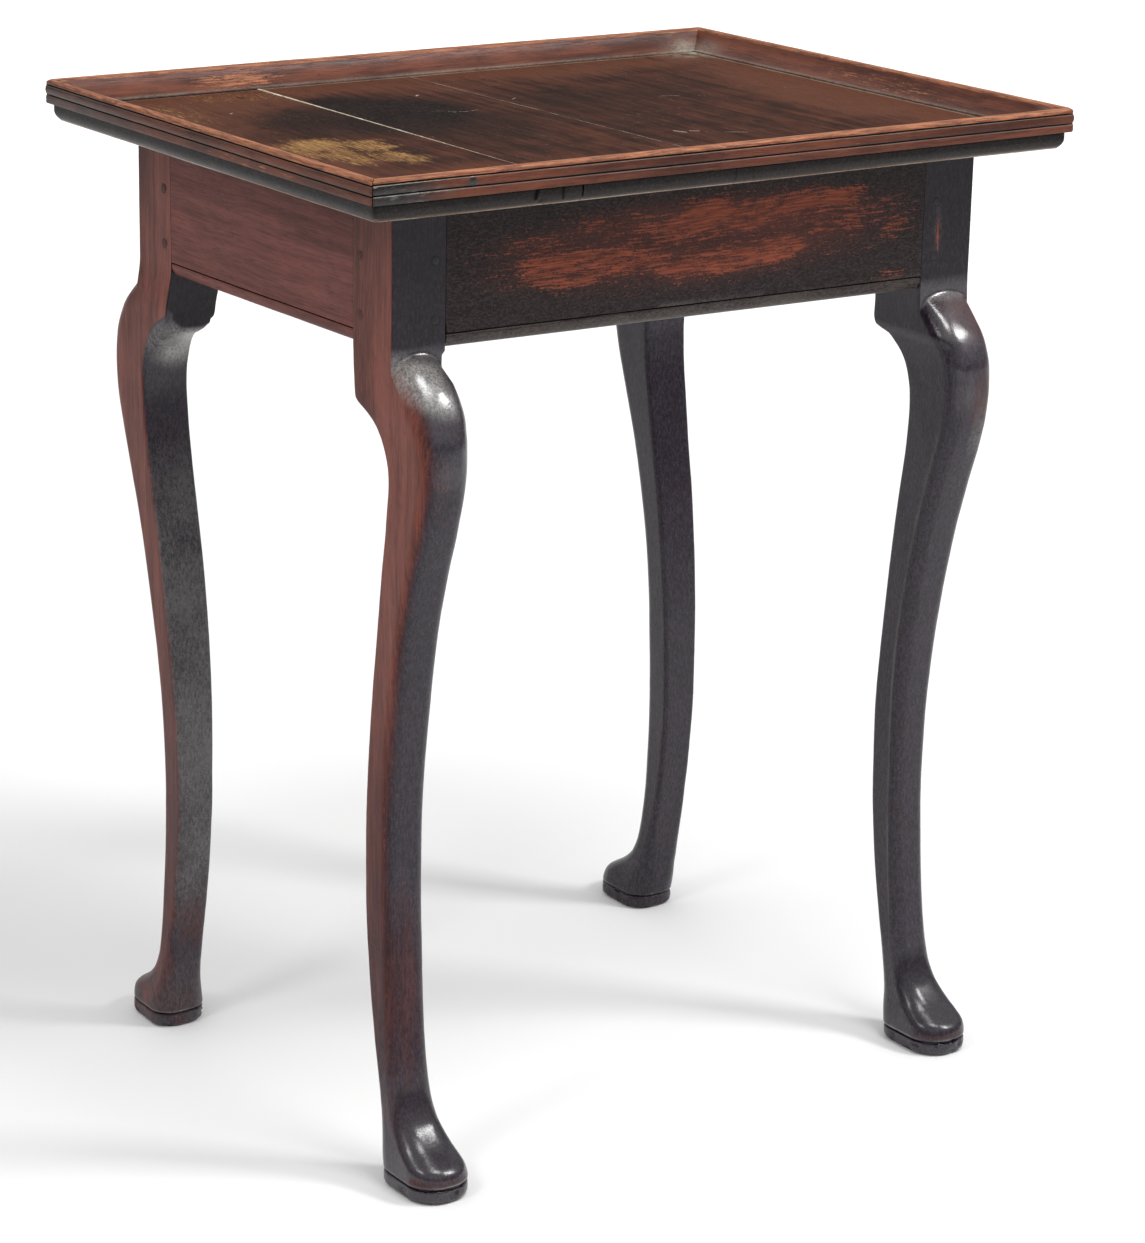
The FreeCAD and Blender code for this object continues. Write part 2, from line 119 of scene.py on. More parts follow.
def smax(a, b, k):
    return np.maximum(a, b) + np.maximum(k - np.abs(a - b), 0) ** 2 / (4 * k)


def blob(u, v, cu, cv, ru, rv, power=1.0):
    """1 in the middle of an ellipse, 0 outside it."""
    r = np.sqrt(((u - cu) / ru) ** 2 + ((v - cv) / rv) ** 2)
    return (1 - sstep(0.35, 1.25, r)) * power


def arc(a, b, r, side, n):
    """n points on the arc of radius r from a to b, both included. side +1 puts its
    centre to the left of the chord."""
    a, b = np.array(a, float), np.array(b, float)
    mid, half = (a + b) / 2, np.linalg.norm(b - a) / 2
    d = (b - a) / (2 * half)
    left = np.array([-d[1], d[0]])
    c = mid + left * side * math.sqrt(max(r * r - half * half, 0.0))
    t0 = math.atan2(*(a - c)[::-1])
    t1 = math.atan2(*(b - c)[::-1])
    dt = (t1 - t0 + math.pi) % (2 * math.pi) - math.pi
    t = t0 + dt * np.linspace(0, 1, n)
    return np.stack([c[0] + r * np.cos(t), c[1] + r * np.sin(t)], -1)


def line(a, b, n):
    """n points from a towards b, without b."""
    t = np.linspace(0, 1, n, endpoint=False)[:, None]
    return np.array(a, float) * (1 - t) + np.array(b, float) * t


# ---------------------------------------------------------------- meshes
ATTRS = ("ink_and_shade", "wear", "dust_and_sheen", "edge", "quirk", "tone")


def mesh(name, co, faces, attrs=None, angle=50.0):
    """A closed mesh from points in millimetres, with its point attributes."""
    me = bpy.data.meshes.new(name)
    me.from_pydata((np.asarray(co, float) / 1000.0).tolist(), [], [list(map(int, f)) for f in faces])
    me.update()
    for key, values in (attrs or {}).items():
        at = me.attributes.new(key, "FLOAT", "POINT")
        at.data.foreach_set("value", np.asarray(values, np.float32).ravel())
    bm = bmesh.new()
    bm.from_mesh(me)
    bmesh.ops.recalc_face_normals(bm, faces=bm.faces)
    bm.to_mesh(me)
    bm.free()
    me.polygons.foreach_set("use_smooth", [True] * len(me.polygons))
    me.set_sharp_from_angle(angle=math.radians(angle))
    me.update()
    o = bpy.data.objects.new(name, me)
    bpy.context.scene.collection.objects.link(o)
    return o


def tube_faces(nu, nv, base=0, caps=True):
    """Faces of nu rings of nv points each, the rings closed, the ends capped."""
    faces = []
    for i in range(nu - 1):
        a, b = base + i * nv, base + (i + 1) * nv
        for j in range(nv):
            k = (j + 1) % nv
            faces.append((a + j, a + k, b + k, b + j))
    if caps:
        faces.append(tuple(base + j for j in range(nv))[::-1])
        faces.append(tuple(base + (nu - 1) * nv + j for j in range(nv)))
    return faces


def grid_normals(P):
    """Unit normals of a grid of rings P (nu, nv, 3); the rings are closed."""
    du = np.gradient(P, axis=0)
    dv = np.roll(P, -1, 1) - np.roll(P, 1, 1)
    n = np.cross(dv, du)
    return n / np.maximum(np.linalg.norm(n, axis=-1, keepdims=True), 1e-9)


def piece(o, nodes, mat):
    o.data.materials.clear()
    o.data.materials.append(mat)
    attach(o, "root")
    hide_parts(*nodes)
    return o


# ---------------------------------------------------------------- node helper
class Tree:
    def __init__(self, name):
        self.mat = bpy.data.materials.new(name)
        self.mat.use_nodes = True
        self.t = self.mat.node_tree
        self.t.nodes.clear()
        self.out = self.t.nodes.new("ShaderNodeOutputMaterial")
        self.bsdf = self.t.nodes.new("ShaderNodeBsdfPrincipled")
        self.t.links.new(self.bsdf.outputs[0], self.out.inputs[0])
        self.co = self.t.nodes.new("ShaderNodeTexCoord").outputs["Object"]
        self.nrm = self.t.nodes.new("ShaderNodeNewGeometry").outputs["Normal"]

    def put(self, sock, v):
        if isinstance(v, bpy.types.NodeSocket):
            self.t.links.new(v, sock)
        elif isinstance(v, (tuple, list)) and len(v) == 3 and sock.type == "RGBA":
            sock.default_value = (*v, 1.0)
        else:
            sock.default_value = v

    def m(self, op, a, b=None, c=None, clamp=False):
        n = self.t.nodes.new("ShaderNodeMath")
        n.operation = op
        n.use_clamp = clamp
        for s, v in zip(n.inputs, (a, b, c)):
            if v is not None:
                self.put(s, v)
        return n.outputs[0]

    def v(self, op, a, b=None, scale=None):
        n = self.t.nodes.new("ShaderNodeVectorMath")
        n.operation = op
        self.put(n.inputs[0], a)
        if b is not None:
            self.put(n.inputs[1], b)
        if scale is not None:
            self.put(n.inputs["Scale"], scale)
        return n.outputs["Value"] if op in ("LENGTH", "DOT_PRODUCT", "DISTANCE") else n.outputs[0]

    def noise(self, vec, scale, detail=2.0, rough=0.5, lac=2.0, dist=0.0, color=False):
        n = self.t.nodes.new("ShaderNodeTexNoise")
        n.noise_dimensions = "3D"
        self.put(n.inputs["Vector"], vec)
        self.put(n.inputs["Scale"], scale)
        self.put(n.inputs["Detail"], detail)
        self.put(n.inputs["Roughness"], rough)
        self.put(n.inputs["Lacunarity"], lac)
        self.put(n.inputs["Distortion"], dist)
        return n.outputs["Color" if color else "Fac"]

    def cells(self, vec, scale, rand=1.0, feature="F1"):
        n = self.t.nodes.new("ShaderNodeTexVoronoi")
        n.feature = feature
        self.put(n.inputs["Vector"], vec)
        self.put(n.inputs["Scale"], scale)
        self.put(n.inputs["Randomness"], rand)
        return n.outputs["Distance"]

    def rng(self, v, a, b, c=0.0, d=1.0, smooth=True):
        n = self.t.nodes.new("ShaderNodeMapRange")
        n.interpolation_type = "SMOOTHSTEP" if smooth else "LINEAR"
        n.clamp = True
        for k, x in zip(("Value", "From Min", "From Max", "To Min", "To Max"), (v, a, b, c, d)):
            self.put(n.inputs[k], x)
        return n.outputs[0]

    def mix(self, f, a, b, kind="MIX"):
        n = self.t.nodes.new("ShaderNodeMix")
        n.data_type = "RGBA"
        n.blend_type = kind
        n.clamp_factor = True
        self.put(n.inputs[0], f)
        self.put(n.inputs[6], a)
        self.put(n.inputs[7], b)
        return n.outputs[2]

    def attr(self, name):
        n = self.t.nodes.new("ShaderNodeAttribute")
        n.attribute_type = "GEOMETRY"
        n.attribute_name = name
        return n.outputs["Fac"]

    def split(self, vec):
        n = self.t.nodes.new("ShaderNodeSeparateXYZ")
        self.put(n.inputs[0], vec)
        return n.outputs[0], n.outputs[1], n.outputs[2]

    def join(self, x, y, z):
        n = self.t.nodes.new("ShaderNodeCombineXYZ")
        for s, v in zip(n.inputs, (x, y, z)):
            self.put(s, v)
        return n.outputs[0]

    def bump(self, height, distance, strength=1.0, normal=None):
        n = self.t.nodes.new("ShaderNodeBump")
        self.put(n.inputs["Height"], height)
        self.put(n.inputs["Distance"], distance)
        self.put(n.inputs["Strength"], strength)
        if normal is not None:
            self.put(n.inputs["Normal"], normal)
        return n.outputs[0]

    def segment(self, a, b, width, soft=0.5, wob=None):
        """1 on a thin line between two points given in millimetres."""
        a = [x / 1000.0 for x in a]
        b = [x / 1000.0 for x in b]
        d = [q - p for p, q in zip(a, b)]
        dd = sum(x * x for x in d)
        pa = self.v("SUBTRACT", self.co if wob is None else wob, tuple(a))
        h = self.m("MULTIPLY", self.v("DOT_PRODUCT", pa, tuple(d)), 1.0 / dd, clamp=True)
        off = self.v("SUBTRACT", pa, self.v("SCALE", tuple(d), scale=h))
        dist = self.v("LENGTH", off)
        return self.rng(dist, width / 1000.0 * (1 + soft), width / 1000.0 * (1 - soft))

    def most(self, *masks):
        out = masks[0]
        for k in masks[1:]:
            out = self.m("MAXIMUM", out, k)
        return out

    def shader(self, **kw):
        names = {"color": "Base Color", "rough": "Roughness", "normal": "Normal",
                 "spec": "Specular IOR Level", "coat": "Coat Weight", "coat_rough": "Coat Roughness",
                 "sheen": "Sheen Weight", "metal": "Metallic", "ior": "IOR"}
        for k, v in kw.items():
            self.put(self.bsdf.inputs[names[k]], v)
        return self.mat


# ---------------------------------------------------------------- wood
def wood(name, axis, lo, hi, ink_and_shade, worn, dust_and_sheen=(0.30, 0.27, 0.23), edge=(0.22, 0.21, 0.19),
         spec=0.5, rough=(0.30, 0.50), bump=1.0, streaks=1.0, pegs=False, speck=0.5,
         ink_noise=0.5, coat=None, coat_rough=0.14, coat_ior=1.5, gloss=False,
         rub=(2.6, 1.0, 0.7), rub_at=(0.44, 0.74), fleck_k=1.0, fleck_f=560.0, cloud=0.55, run=0.13, extra=None):
    """Old polished mahogany. lo and hi are the bare wood's dark and light tones, ink_and_shade the
    blackened finish over it, which also lays painted shade, and worn the wood where that finish is rubbed through."""
    T = Tree(name)
    co = T.co
    warp = T.v("SUBTRACT", T.noise(co, 7.0, 2.0, 0.5, color=True), (0.5, 0.5, 0.5))
    co2 = T.v("ADD", co, T.v("SCALE", warp, scale=0.010))
    along = {"x": 0, "y": 1, "z": 2}[axis]

    def stretch(k):
        s = [1.0, 1.0, 1.0]
        s[along] = k
        return T.v("MULTIPLY", co2, tuple(s))

    g1, g2, g3 = stretch(0.045), stretch(0.02), stretch(run)
    fibre = T.noise(g1, 850.0, 4.0, 0.62)
    figure = T.noise(g1, 150.0, 3.0, 0.55)
    pore = T.noise(g2, 2300.0, 2.0, 0.5)
    mottle = T.noise(co, 26.0, 4.0, 0.55)
    fine = T.noise(co, 1100.0, 3.0, 0.6)
    streak = T.noise(g3, 640.0, 5.0, 0.66)
    fleck = T.noise(stretch(0.40), fleck_f, 4.0, 0.66)

    ink_and_shade_a, wear_a, dust_and_sheen_a = T.attr("ink_and_shade"), T.attr("wear"), T.attr("dust_and_sheen")
    edge_a, quirk_a, tone_a = T.attr("edge"), T.attr("quirk"), T.attr("tone")

    t = T.m("MULTIPLY_ADD", fibre, 0.5, T.m("MULTIPLY_ADD", figure, 0.55, T.m("MULTIPLY", mottle, cloud)))
    t = T.m("ADD", T.m("ADD", t, -0.525 - 0.5 * cloud), T.m("MULTIPLY", tone_a, 0.35))
    t = T.rng(t, -0.22, 0.24)
    col = T.mix(t, lo, hi)
    pores = T.rng(pore, 0.56, 0.70)
    col = T.mix(T.m("MULTIPLY", pores, 0.55), col, tuple(c * 0.28 for c in lo))
    # the black finish, broken up by the grain; the same mix lays painted shadow on the rails' tops
    i = T.m("MULTIPLY_ADD", T.m("SUBTRACT", streak, 0.5), ink_noise,
            T.m("MULTIPLY_ADD", T.m("SUBTRACT", mottle, 0.5), ink_noise * 0.8, ink_and_shade_a))
    i = T.m("MULTIPLY_ADD", T.m("SUBTRACT", fine, 0.5), ink_noise * 0.5, i)
    i = T.rng(i, 0.16, 0.84)
    ink_and_shade_c = T.mix(T.rng(T.m("MULTIPLY_ADD", fine, 0.4, T.m("MULTIPLY", fleck, 0.6)), 0.40, 0.64), tuple(c * 0.45 for c in ink_and_shade),
                  tuple(min(1.0, c * (2.0 + 1.4 * fleck_k) + 0.002 * fleck_k) for c in ink_and_shade))
    col = T.mix(i, col, ink_and_shade_c)
    # worn through
    w = T.m("MULTIPLY_ADD", T.m("SUBTRACT", streak, 0.5), rub[0] * streaks, wear_a)
    w = T.m("MULTIPLY_ADD", T.m("SUBTRACT", T.m("MULTIPLY_ADD", fine, 0.5, T.m("MULTIPLY", fleck, 0.5)), 0.5), rub[1], w)
    w = T.m("MULTIPLY_ADD", T.m("SUBTRACT", fibre, 0.5), rub[2] * streaks, w)
    w = T.m("MULTIPLY", T.rng(w, rub_at[0], rub_at[1]), T.rng(wear_a, 0.02, 0.2))
    worn_c = T.mix(T.rng(fibre, 0.36, 0.66), tuple(c * 0.55 for c in worn), tuple(min(1, c * 1.25) for c in worn))
    col = T.mix(w, col, worn_c)
    # dust and dry wax, and in places a painted sheen or painted reflection in the same pale colour
    d = T.m("MULTIPLY", dust_and_sheen_a, T.rng(T.m("ADD", T.m("MULTIPLY", mottle, 0.35), T.m("ADD", T.m("MULTIPLY", fine, 0.35), T.m("MULTIPLY", fleck, 0.4))), 0.40, 0.68, 0.20, 1.2))
    col = T.mix(d, col, dust_and_sheen)
    # pale arrises: partly worn edges, partly painted highlights along rounded arrises that catch the light
    e = T.m("MULTIPLY", edge_a, T.rng(T.m("ADD", T.m("MULTIPLY", mottle, 0.6), T.m("MULTIPLY", fine, 0.5)), 0.40, 0.64, 0.15, 1.0))
    col = T.mix(e, col, edge)
    # light speckle of an old surface
    sp = T.rng(T.noise(co, 520.0, 3.0, 0.75), 0.60, 0.74)
    col = T.mix(T.m("MULTIPLY", sp, 0.30 * speck), col, tuple(min(1.0, c * 2.0 + 0.02) for c in hi))
    # near black where the quirk attribute is set: painted shade in grooves, gaps and under overhangs, as well as dark
    # cracks and open joints
    q = T.rng(T.m("ADD", quirk_a, T.m("MULTIPLY", T.m("SUBTRACT", fine, 0.5), 0.25)), 0.25, 0.7)
    col = T.mix(q, col, (0.004, 0.0035, 0.003))
    r = T.m("MULTIPLY_ADD", T.m("SUBTRACT", fine, 0.5), 0.30, T.m("MULTIPLY_ADD", T.m("SUBTRACT", mottle, 0.5), 0.35, 0.5))
    r = T.rng(r, 0.30, 0.70, rough[0], rough[1], smooth=False)
    r = T.m("ADD", r, T.m("MULTIPLY", T.m("MAXIMUM", d, T.m("MULTIPLY", w, 0.5)), 0.22), clamp=True)
    r = T.m("ADD", r, T.m("MULTIPLY", q, 0.4), clamp=True)
    height = T.m("MULTIPLY_ADD", fibre, 0.30, T.m("MULTIPLY_ADD", pores, -0.35, T.m("MULTIPLY", fine, 0.25)))
    height = T.m("MULTIPLY_ADD", w, -0.25, height)
    height = T.m("MULTIPLY_ADD", fleck, 0.5, height)
    if pegs:
        # a dark ring round each peg in its hole
        x, y, z = T.split(co)
        nx, ny, nz = T.split(T.nrm)
        rings = []
        ax, ay = T.m("ABSOLUTE", x), T.m("ABSOLUTE", y)
        for lev in (0.6435, 0.6045):
            dz = T.m("SUBTRACT", z, lev)
            for a, at, face in ((ax, 0.2085, ny), (ay, 0.1315, nx)):
                dist = T.v("LENGTH", T.join(T.m("SUBTRACT", a, at), dz, 0.0))
                dist = T.m("ADD", dist, T.m("MULTIPLY", T.m("SUBTRACT", fine, 0.5), 0.0012))
                hit = T.m("MULTIPLY", T.rng(dist, 0.0042, 0.0033), T.rng(T.m("ABSOLUTE", face), 0.6, 0.8))
                if face is nx:
                    hit = T.m("MULTIPLY", hit, T.rng(T.m("ADD", fleck, T.m("MULTIPLY", y, 9.0)), -0.9, 1.7, 0.35, 0.8))
                rings.append(hit)
        ring = T.most(*rings)
        col = T.mix(T.m("MULTIPLY", ring, 0.85), col, (0.004, 0.0035, 0.003))
        height = T.m("MULTIPLY_ADD", ring, -1.5, height)
    if extra:
        col, r, height = extra(T, col, r, height, dict(fine=fine, mottle=mottle, fibre=fibre,
                                                      figure=figure, streak=streak, tone=t, ink_and_shade=i, worn=w))
    n = T.bump(T.noise(co, 55.0, 3.0, 0.55), 0.0009, 0.35 * min(bump, 1.5))
    n = T.bump(height, 0.00022, 0.75 * min(bump, 1.3), n)
    if coat:
        # the polish stands on the old finish and is gone where the wood is bare
        lo_c, hi_c, weight = coat
        gone = T.m("SUBTRACT", 1.0, T.m("MULTIPLY", T.m("MAXIMUM", w, q), 0.75), clamp=True)
        k = T.m("MULTIPLY", T.m("MULTIPLY", T.rng(ink_and_shade_a, lo_c, hi_c), weight), gone)
        if gloss:
            k = T.m("MULTIPLY", k, T.rng(T.attr("gloss"), 0.0, 1.0, 0.30, 1.0, smooth=False))
        T.shader(coat=k, coat_rough=coat_rough)
        T.put(T.bsdf.inputs["Coat IOR"], coat_ior)
        c = T.bump(T.noise(co, 70.0, 3.0, 0.5), 0.0009, 0.30 * min(bump, 1.5))
        T.put(T.bsdf.inputs["Coat Normal"], T.bump(T.m("ADD", fleck, fibre), 0.00012, 0.5 * min(bump, 1.5), c))
    return T.shader(color=col, rough=r, normal=n, spec=spec)


LEG_LO, LEG_HI = (0.086, 0.0270, 0.0205), (0.235, 0.075, 0.056)
INK = (0.0050, 0.0040, 0.0036)


def dark_lines(lines, power=0.9):
    """Cracks and open joints on the faces, as (from, to, width) in millimetres."""
    def extra(T, col, r, height, k):
        wob = T.v("ADD", T.co, T.v("SCALE", T.v("SUBTRACT", T.noise(T.co, 110.0, 2.0, 0.5, color=True), (0.5, 0.5, 0.5)), scale=0.0016))
        hit = T.most(*[T.segment(a, b, w, 0.5, wob) for a, b, w in lines])
        hit = T.m("MULTIPLY", hit, T.rng(k["fine"], 0.25, 0.5, 0.35, 1.0))
        col = T.mix(T.m("MULTIPLY", hit, power), col, (0.003, 0.0025, 0.002))
        return col, r, T.m("MULTIPLY_ADD", hit, -1.2, height)
    return extra


LEG_LINES = [((-210.0, -169.7, 681.0), (-208.7, -169.7, 650.0), 0.30), ((-208.7, -169.7, 650.0), (-209.6, -169.7, 612.0), 0.26),
             ((-209.6, -169.7, 612.0), (-208.0, -169.7, 588.0), 0.22), ((224.0, -169.7, 600.0), (226.0, -169.7, 588.0), 0.25)]
mat_leg = wood("leg_wood", "z", LEG_LO, LEG_HI, (0.0105, 0.0066, 0.0125), (0.24, 0.060, 0.028),
               rough=(0.28, 0.46), pegs=True, bump=0.9, spec=0.14, coat=(0.45, 0.85, 1.0), coat_rough=0.20,
               coat_ior=1.75, gloss=True, cloud=0.40, run=0.06, rub=(1.5, 1.5, 0.7), rub_at=(0.36, 0.86), dust_and_sheen=(0.31, 0.30, 0.285),
               extra=dark_lines(LEG_LINES, 0.8))
RAIL_LINES = [((-200.4, -169.9, 607.0), (-200.4, -169.9, 592.0), 0.55)]
mat_rail_x = wood("frieze_wood_long", "x", (0.060, 0.017, 0.012), (0.125, 0.035, 0.024), (0.0150, 0.0098, 0.0098),
                  (0.235, 0.058, 0.030), rough=(0.34, 0.55), bump=1.0, spec=0.20, rub=(2.3, 2.1, 0.8), rub_at=(0.40, 0.82),
                  fleck_k=0.6, fleck_f=820.0, extra=dark_lines(RAIL_LINES))
mat_rail_y = wood("frieze_wood_short", "y", (0.092, 0.0305, 0.0245), (0.216, 0.072, 0.061), INK,
                  (0.24, 0.065, 0.03), rough=(0.40, 0.60), bump=1.0, spec=0.16, cloud=0.25, ink_noise=0.28)
GAL_LO, GAL_HI = (0.066, 0.019, 0.011), (0.185, 0.055, 0.029)
mat_gal_x = wood("gallery_wood_long", "x", GAL_LO, GAL_HI, INK, (0.35, 0.135, 0.066), rough=(0.24, 0.44), bump=0.9,
                 dust_and_sheen=(0.34, 0.32, 0.27), edge=(0.13, 0.13, 0.12), spec=0.20, coat=(0.30, 0.75, 0.60), coat_rough=0.14,
                 rub=(2.0, 1.4, 0.7), rub_at=(0.40, 0.84))
mat_gal_y = wood("gallery_wood_short", "y", GAL_LO, GAL_HI, INK, (0.35, 0.135, 0.066), rough=(0.24, 0.44), bump=0.9,
                 dust_and_sheen=(0.34, 0.32, 0.27), edge=(0.13, 0.13, 0.12), spec=0.20, coat=(0.30, 0.75, 0.60), coat_rough=0.14,
                 rub=(2.0, 1.4, 0.7), rub_at=(0.40, 0.84))


def plain_wood(name, axis, lo, hi, rough=(0.55, 0.8), spec=0.3, scale=1.0):
    """Raw secondary wood: end grain pegs, glue blocks."""
    T = Tree(name)
    s = [1.0, 1.0, 1.0]
    s["xyz".index(axis)] = 0.06
    g = T.v("MULTIPLY", T.co, tuple(s))
    fibre = T.noise(g, 700.0 * scale, 4.0, 0.6)
    ring = T.noise(g, 120.0 * scale, 2.0, 0.5)
    fine = T.noise(T.co, 1500.0, 3.0, 0.6)
    mott = T.noise(T.co, 45.0, 3.0, 0.6)
    t = T.rng(T.m("ADD", T.m("MULTIPLY", fibre, 0.5), T.m("MULTIPLY", T.m("ADD", ring, mott), 0.3)), 0.38, 0.72)
    col = T.mix(t, lo, hi)
    col = T.mix(T.m("MULTIPLY", T.rng(fine, 0.5, 0.8), 0.35), col, tuple(c * 0.5 for c in lo))
    col = T.mix(T.m("MULTIPLY", T.rng(mott, 0.5, 0.75), 0.45), col, tuple(c * 0.45 for c in hi))
    h = T.m("ADD", T.m("MULTIPLY", fibre, 0.7), T.m("MULTIPLY", fine, 0.5))
    return T.shader(color=col, rough=T.rng(fine, 0.2, 0.8, rough[0], rough[1], smooth=False),
                    normal=T.bump(h, 0.0003, 0.9), spec=spec)


mat_peg = plain_wood("peg_wood", "z", (0.010, 0.009, 0.009), (0.029, 0.025, 0.026), (0.34, 0.5), 0.3, 2.0)
mat_peg_side = plain_wood("peg_wood_side", "x", (0.034, 0.013, 0.010), (0.115, 0.042, 0.033), (0.45, 0.7), 0.25, 2.0)
mat_block_x = plain_wood("block_wood_long", "x", (0.16, 0.09, 0.045), (0.36, 0.23, 0.12))
mat_block_y = plain_wood("block_wood_short", "y", (0.16, 0.09, 0.045), (0.36, 0.23, 0.12))


def iron():
    T = Tree("brad_iron")
    a, b = T.noise(T.co, 900.0, 4.0, 0.6), T.noise(T.co, 250.0, 2.0, 0.5)
    rust = T.rng(T.m("ADD", T.m("MULTIPLY", a, 0.6), T.m("MULTIPLY", b, 0.5)), 0.50, 0.66)
    col = T.mix(rust, (0.030, 0.029, 0.030), (0.085, 0.048, 0.028))
    return T.shader(color=col, rough=T.rng(a, 0.3, 0.7, 0.38, 0.7), metal=0.7,
                    normal=T.bump(a, 0.0002, 0.8))


def filler():
    T = Tree("seam_filler")
    a, b = T.noise(T.co, 1300.0, 4.0, 0.65), T.noise(T.co, 95.0, 3.0, 0.6)
    t = T.rng(T.m("ADD", T.m("MULTIPLY", a, 0.5), T.m("MULTIPLY", b, 0.6)), 0.40, 0.70)
    col = T.mix(t, (0.33, 0.25, 0.17), (0.74, 0.66, 0.52))
    x, y, z = T.split(T.co)
    col = T.mix(T.rng(T.m("ADD", y, T.m("MULTIPLY", b, 0.1)), 0.07, -0.12), col, (0.24, 0.13, 0.10))
    return T.shader(color=col, rough=0.75, spec=0.25, normal=T.bump(a, 0.0003, 0.8))


mat_iron, mat_filler = iron(), filler()

# ---------------------------------------------------------------- legs
X_IN = pchip([(0, 201.2), (12, 201.2), (19.5, 202.6), (27, 204.4), (36, 206.2), (47, 207.6), (64, 208.6), (100, 209.3),
              (145, 208.9), (195, 208.2), (245, 207.4), (295, 206.4), (345, 205.6), (396, 205.0), (437, 204.6),
              (467, 204.3), (492, 204.1), (512, 203.8), (525, 203.3), (535, 202.2), (544, 200.7), (548, 200.5), (690, 200.5)])
X_OUT = pchip([(0, 246.6), (12, 246.6), (19.5, 246.3), (27, 245.5), (36, 244.3), (47, 243.1), (64, 241.9), (100, 240.9),
               (145, 240.5), (195, 240.4), (245, 240.5), (295, 240.8), (345, 241.0), (396, 241.2), (437, 241.4),
               (467, 241.5), (690, 241.5)])
Y_IN = pchip([(0, 146.8), (12, 146.8), (19.5, 145.9), (27, 145.3), (36, 145.1), (47, 144.3), (64, 141.6), (100, 134.4),
              (145, 127.8), (195, 124.4), (245, 125.4), (295, 130.2), (345, 136.6), (396, 144.2), (437, 150.6),
              (467, 155.2), (492, 157.0), (505, 156.2), (515, 153.8), (524, 150.4), (532, 145.2), (538, 138.8),
              (542.5, 131.5), (546, 124.6), (548.5, 122.5), (690, 122.5)])
Y_OUT = pchip([(0, 208.2), (12, 208.2), (16, 208.0), (20, 206.9), (23, 204.2), (25.5, 200.3), (28, 196.0), (32, 189.3),
               (36, 183.6), (47, 172.6), (64, 165.0), (100, 159.6), (145, 156.4), (195, 154.8), (245, 155.6),
               (295, 159.4), (345, 167.2), (396, 177.8), (437, 189.6), (467, 200.0), (492, 206.6), (512, 208.6),
               (528, 207.4), (540, 203.2), (552, 196.0), (564, 184.4), (574, 173.4), (583, 163.0), (592, 150.0), (690, 150.0)])
R_FAR = pchip([(0, 20.8), (12, 20.8), (19.5, 20.2), (27, 18.0), (36, 14.5), (47, 11.5), (64, 9.5), (100, 8.4), (145, 8.0),
               (195, 8.0), (245, 8.4), (295, 9.0), (345, 9.2), (396, 9.0), (437, 9.2), (467, 9.8), (492, 10.8),
               (512, 12.0), (528, 13.2), (540, 13.6), (552, 12.4), (560, 10.6), (566, 8.8), (571, 7.2), (575, 6.0), (583, 4.5), (690, 4.5)])
R_NEAR = pchip([(0, 16.8), (12, 16.8), (19.5, 16.0), (27, 14.5), (36, 12.0), (47, 9.0), (64, 6.5), (100, 4.6), (145, 3.8),
                (195, 3.4), (295, 3.0), (396, 3.0), (467, 2.8), (512, 2.4), (532, 1.8), (545, 1.2), (560, 0.9),
                (578, 0.8), (584, 0.4), (690, 0.4)])
INSET = [(0, 3.1), (0.5, 2.3), (1.2, 1.4), (2.2, 0.6), (3.4, 0.2), (5, 0.05), (9.2, 0.1), (10.0, 0.35), (10.35, 0.9),
         (10.7, 1.7), (11.2, 1.8), (11.6, 1.3), (11.9, 0.5), (12.4, 0.1), (13.2, 0.0)]
LEVELS = np.concatenate([
    [0, 0.3, 0.7, 1.2, 1.8, 2.5, 3.4, 4.5, 6, 7.5, 8.8, 9.5, 10.0, 10.3, 10.5, 10.7, 10.95, 11.2, 11.45, 11.7, 11.95,
     12.2, 12.6, 13.2], np.arange(14, 34, 0.9), np.arange(34, 60, 2.0), np.arange(60, 480, 5.0),
    np.arange(480, 536, 2.4), np.arange(536, 594, 0.8), np.arange(594, 681, 4.0), [681.0, 681.6, 681.9]])
N_SIDE, N_FRONT, N_CORNER, N_REAR = 16, 50, 6, 13

# how far each foot has moved at the floor, in world millimetres
LEAN = {("front", "left"): (3.6, -7.2), ("front", "right"): (7.8, 2.1),
        ("back", "left"): (2.6, -6.2), ("back", "right"): (-0.3, 1.6)}


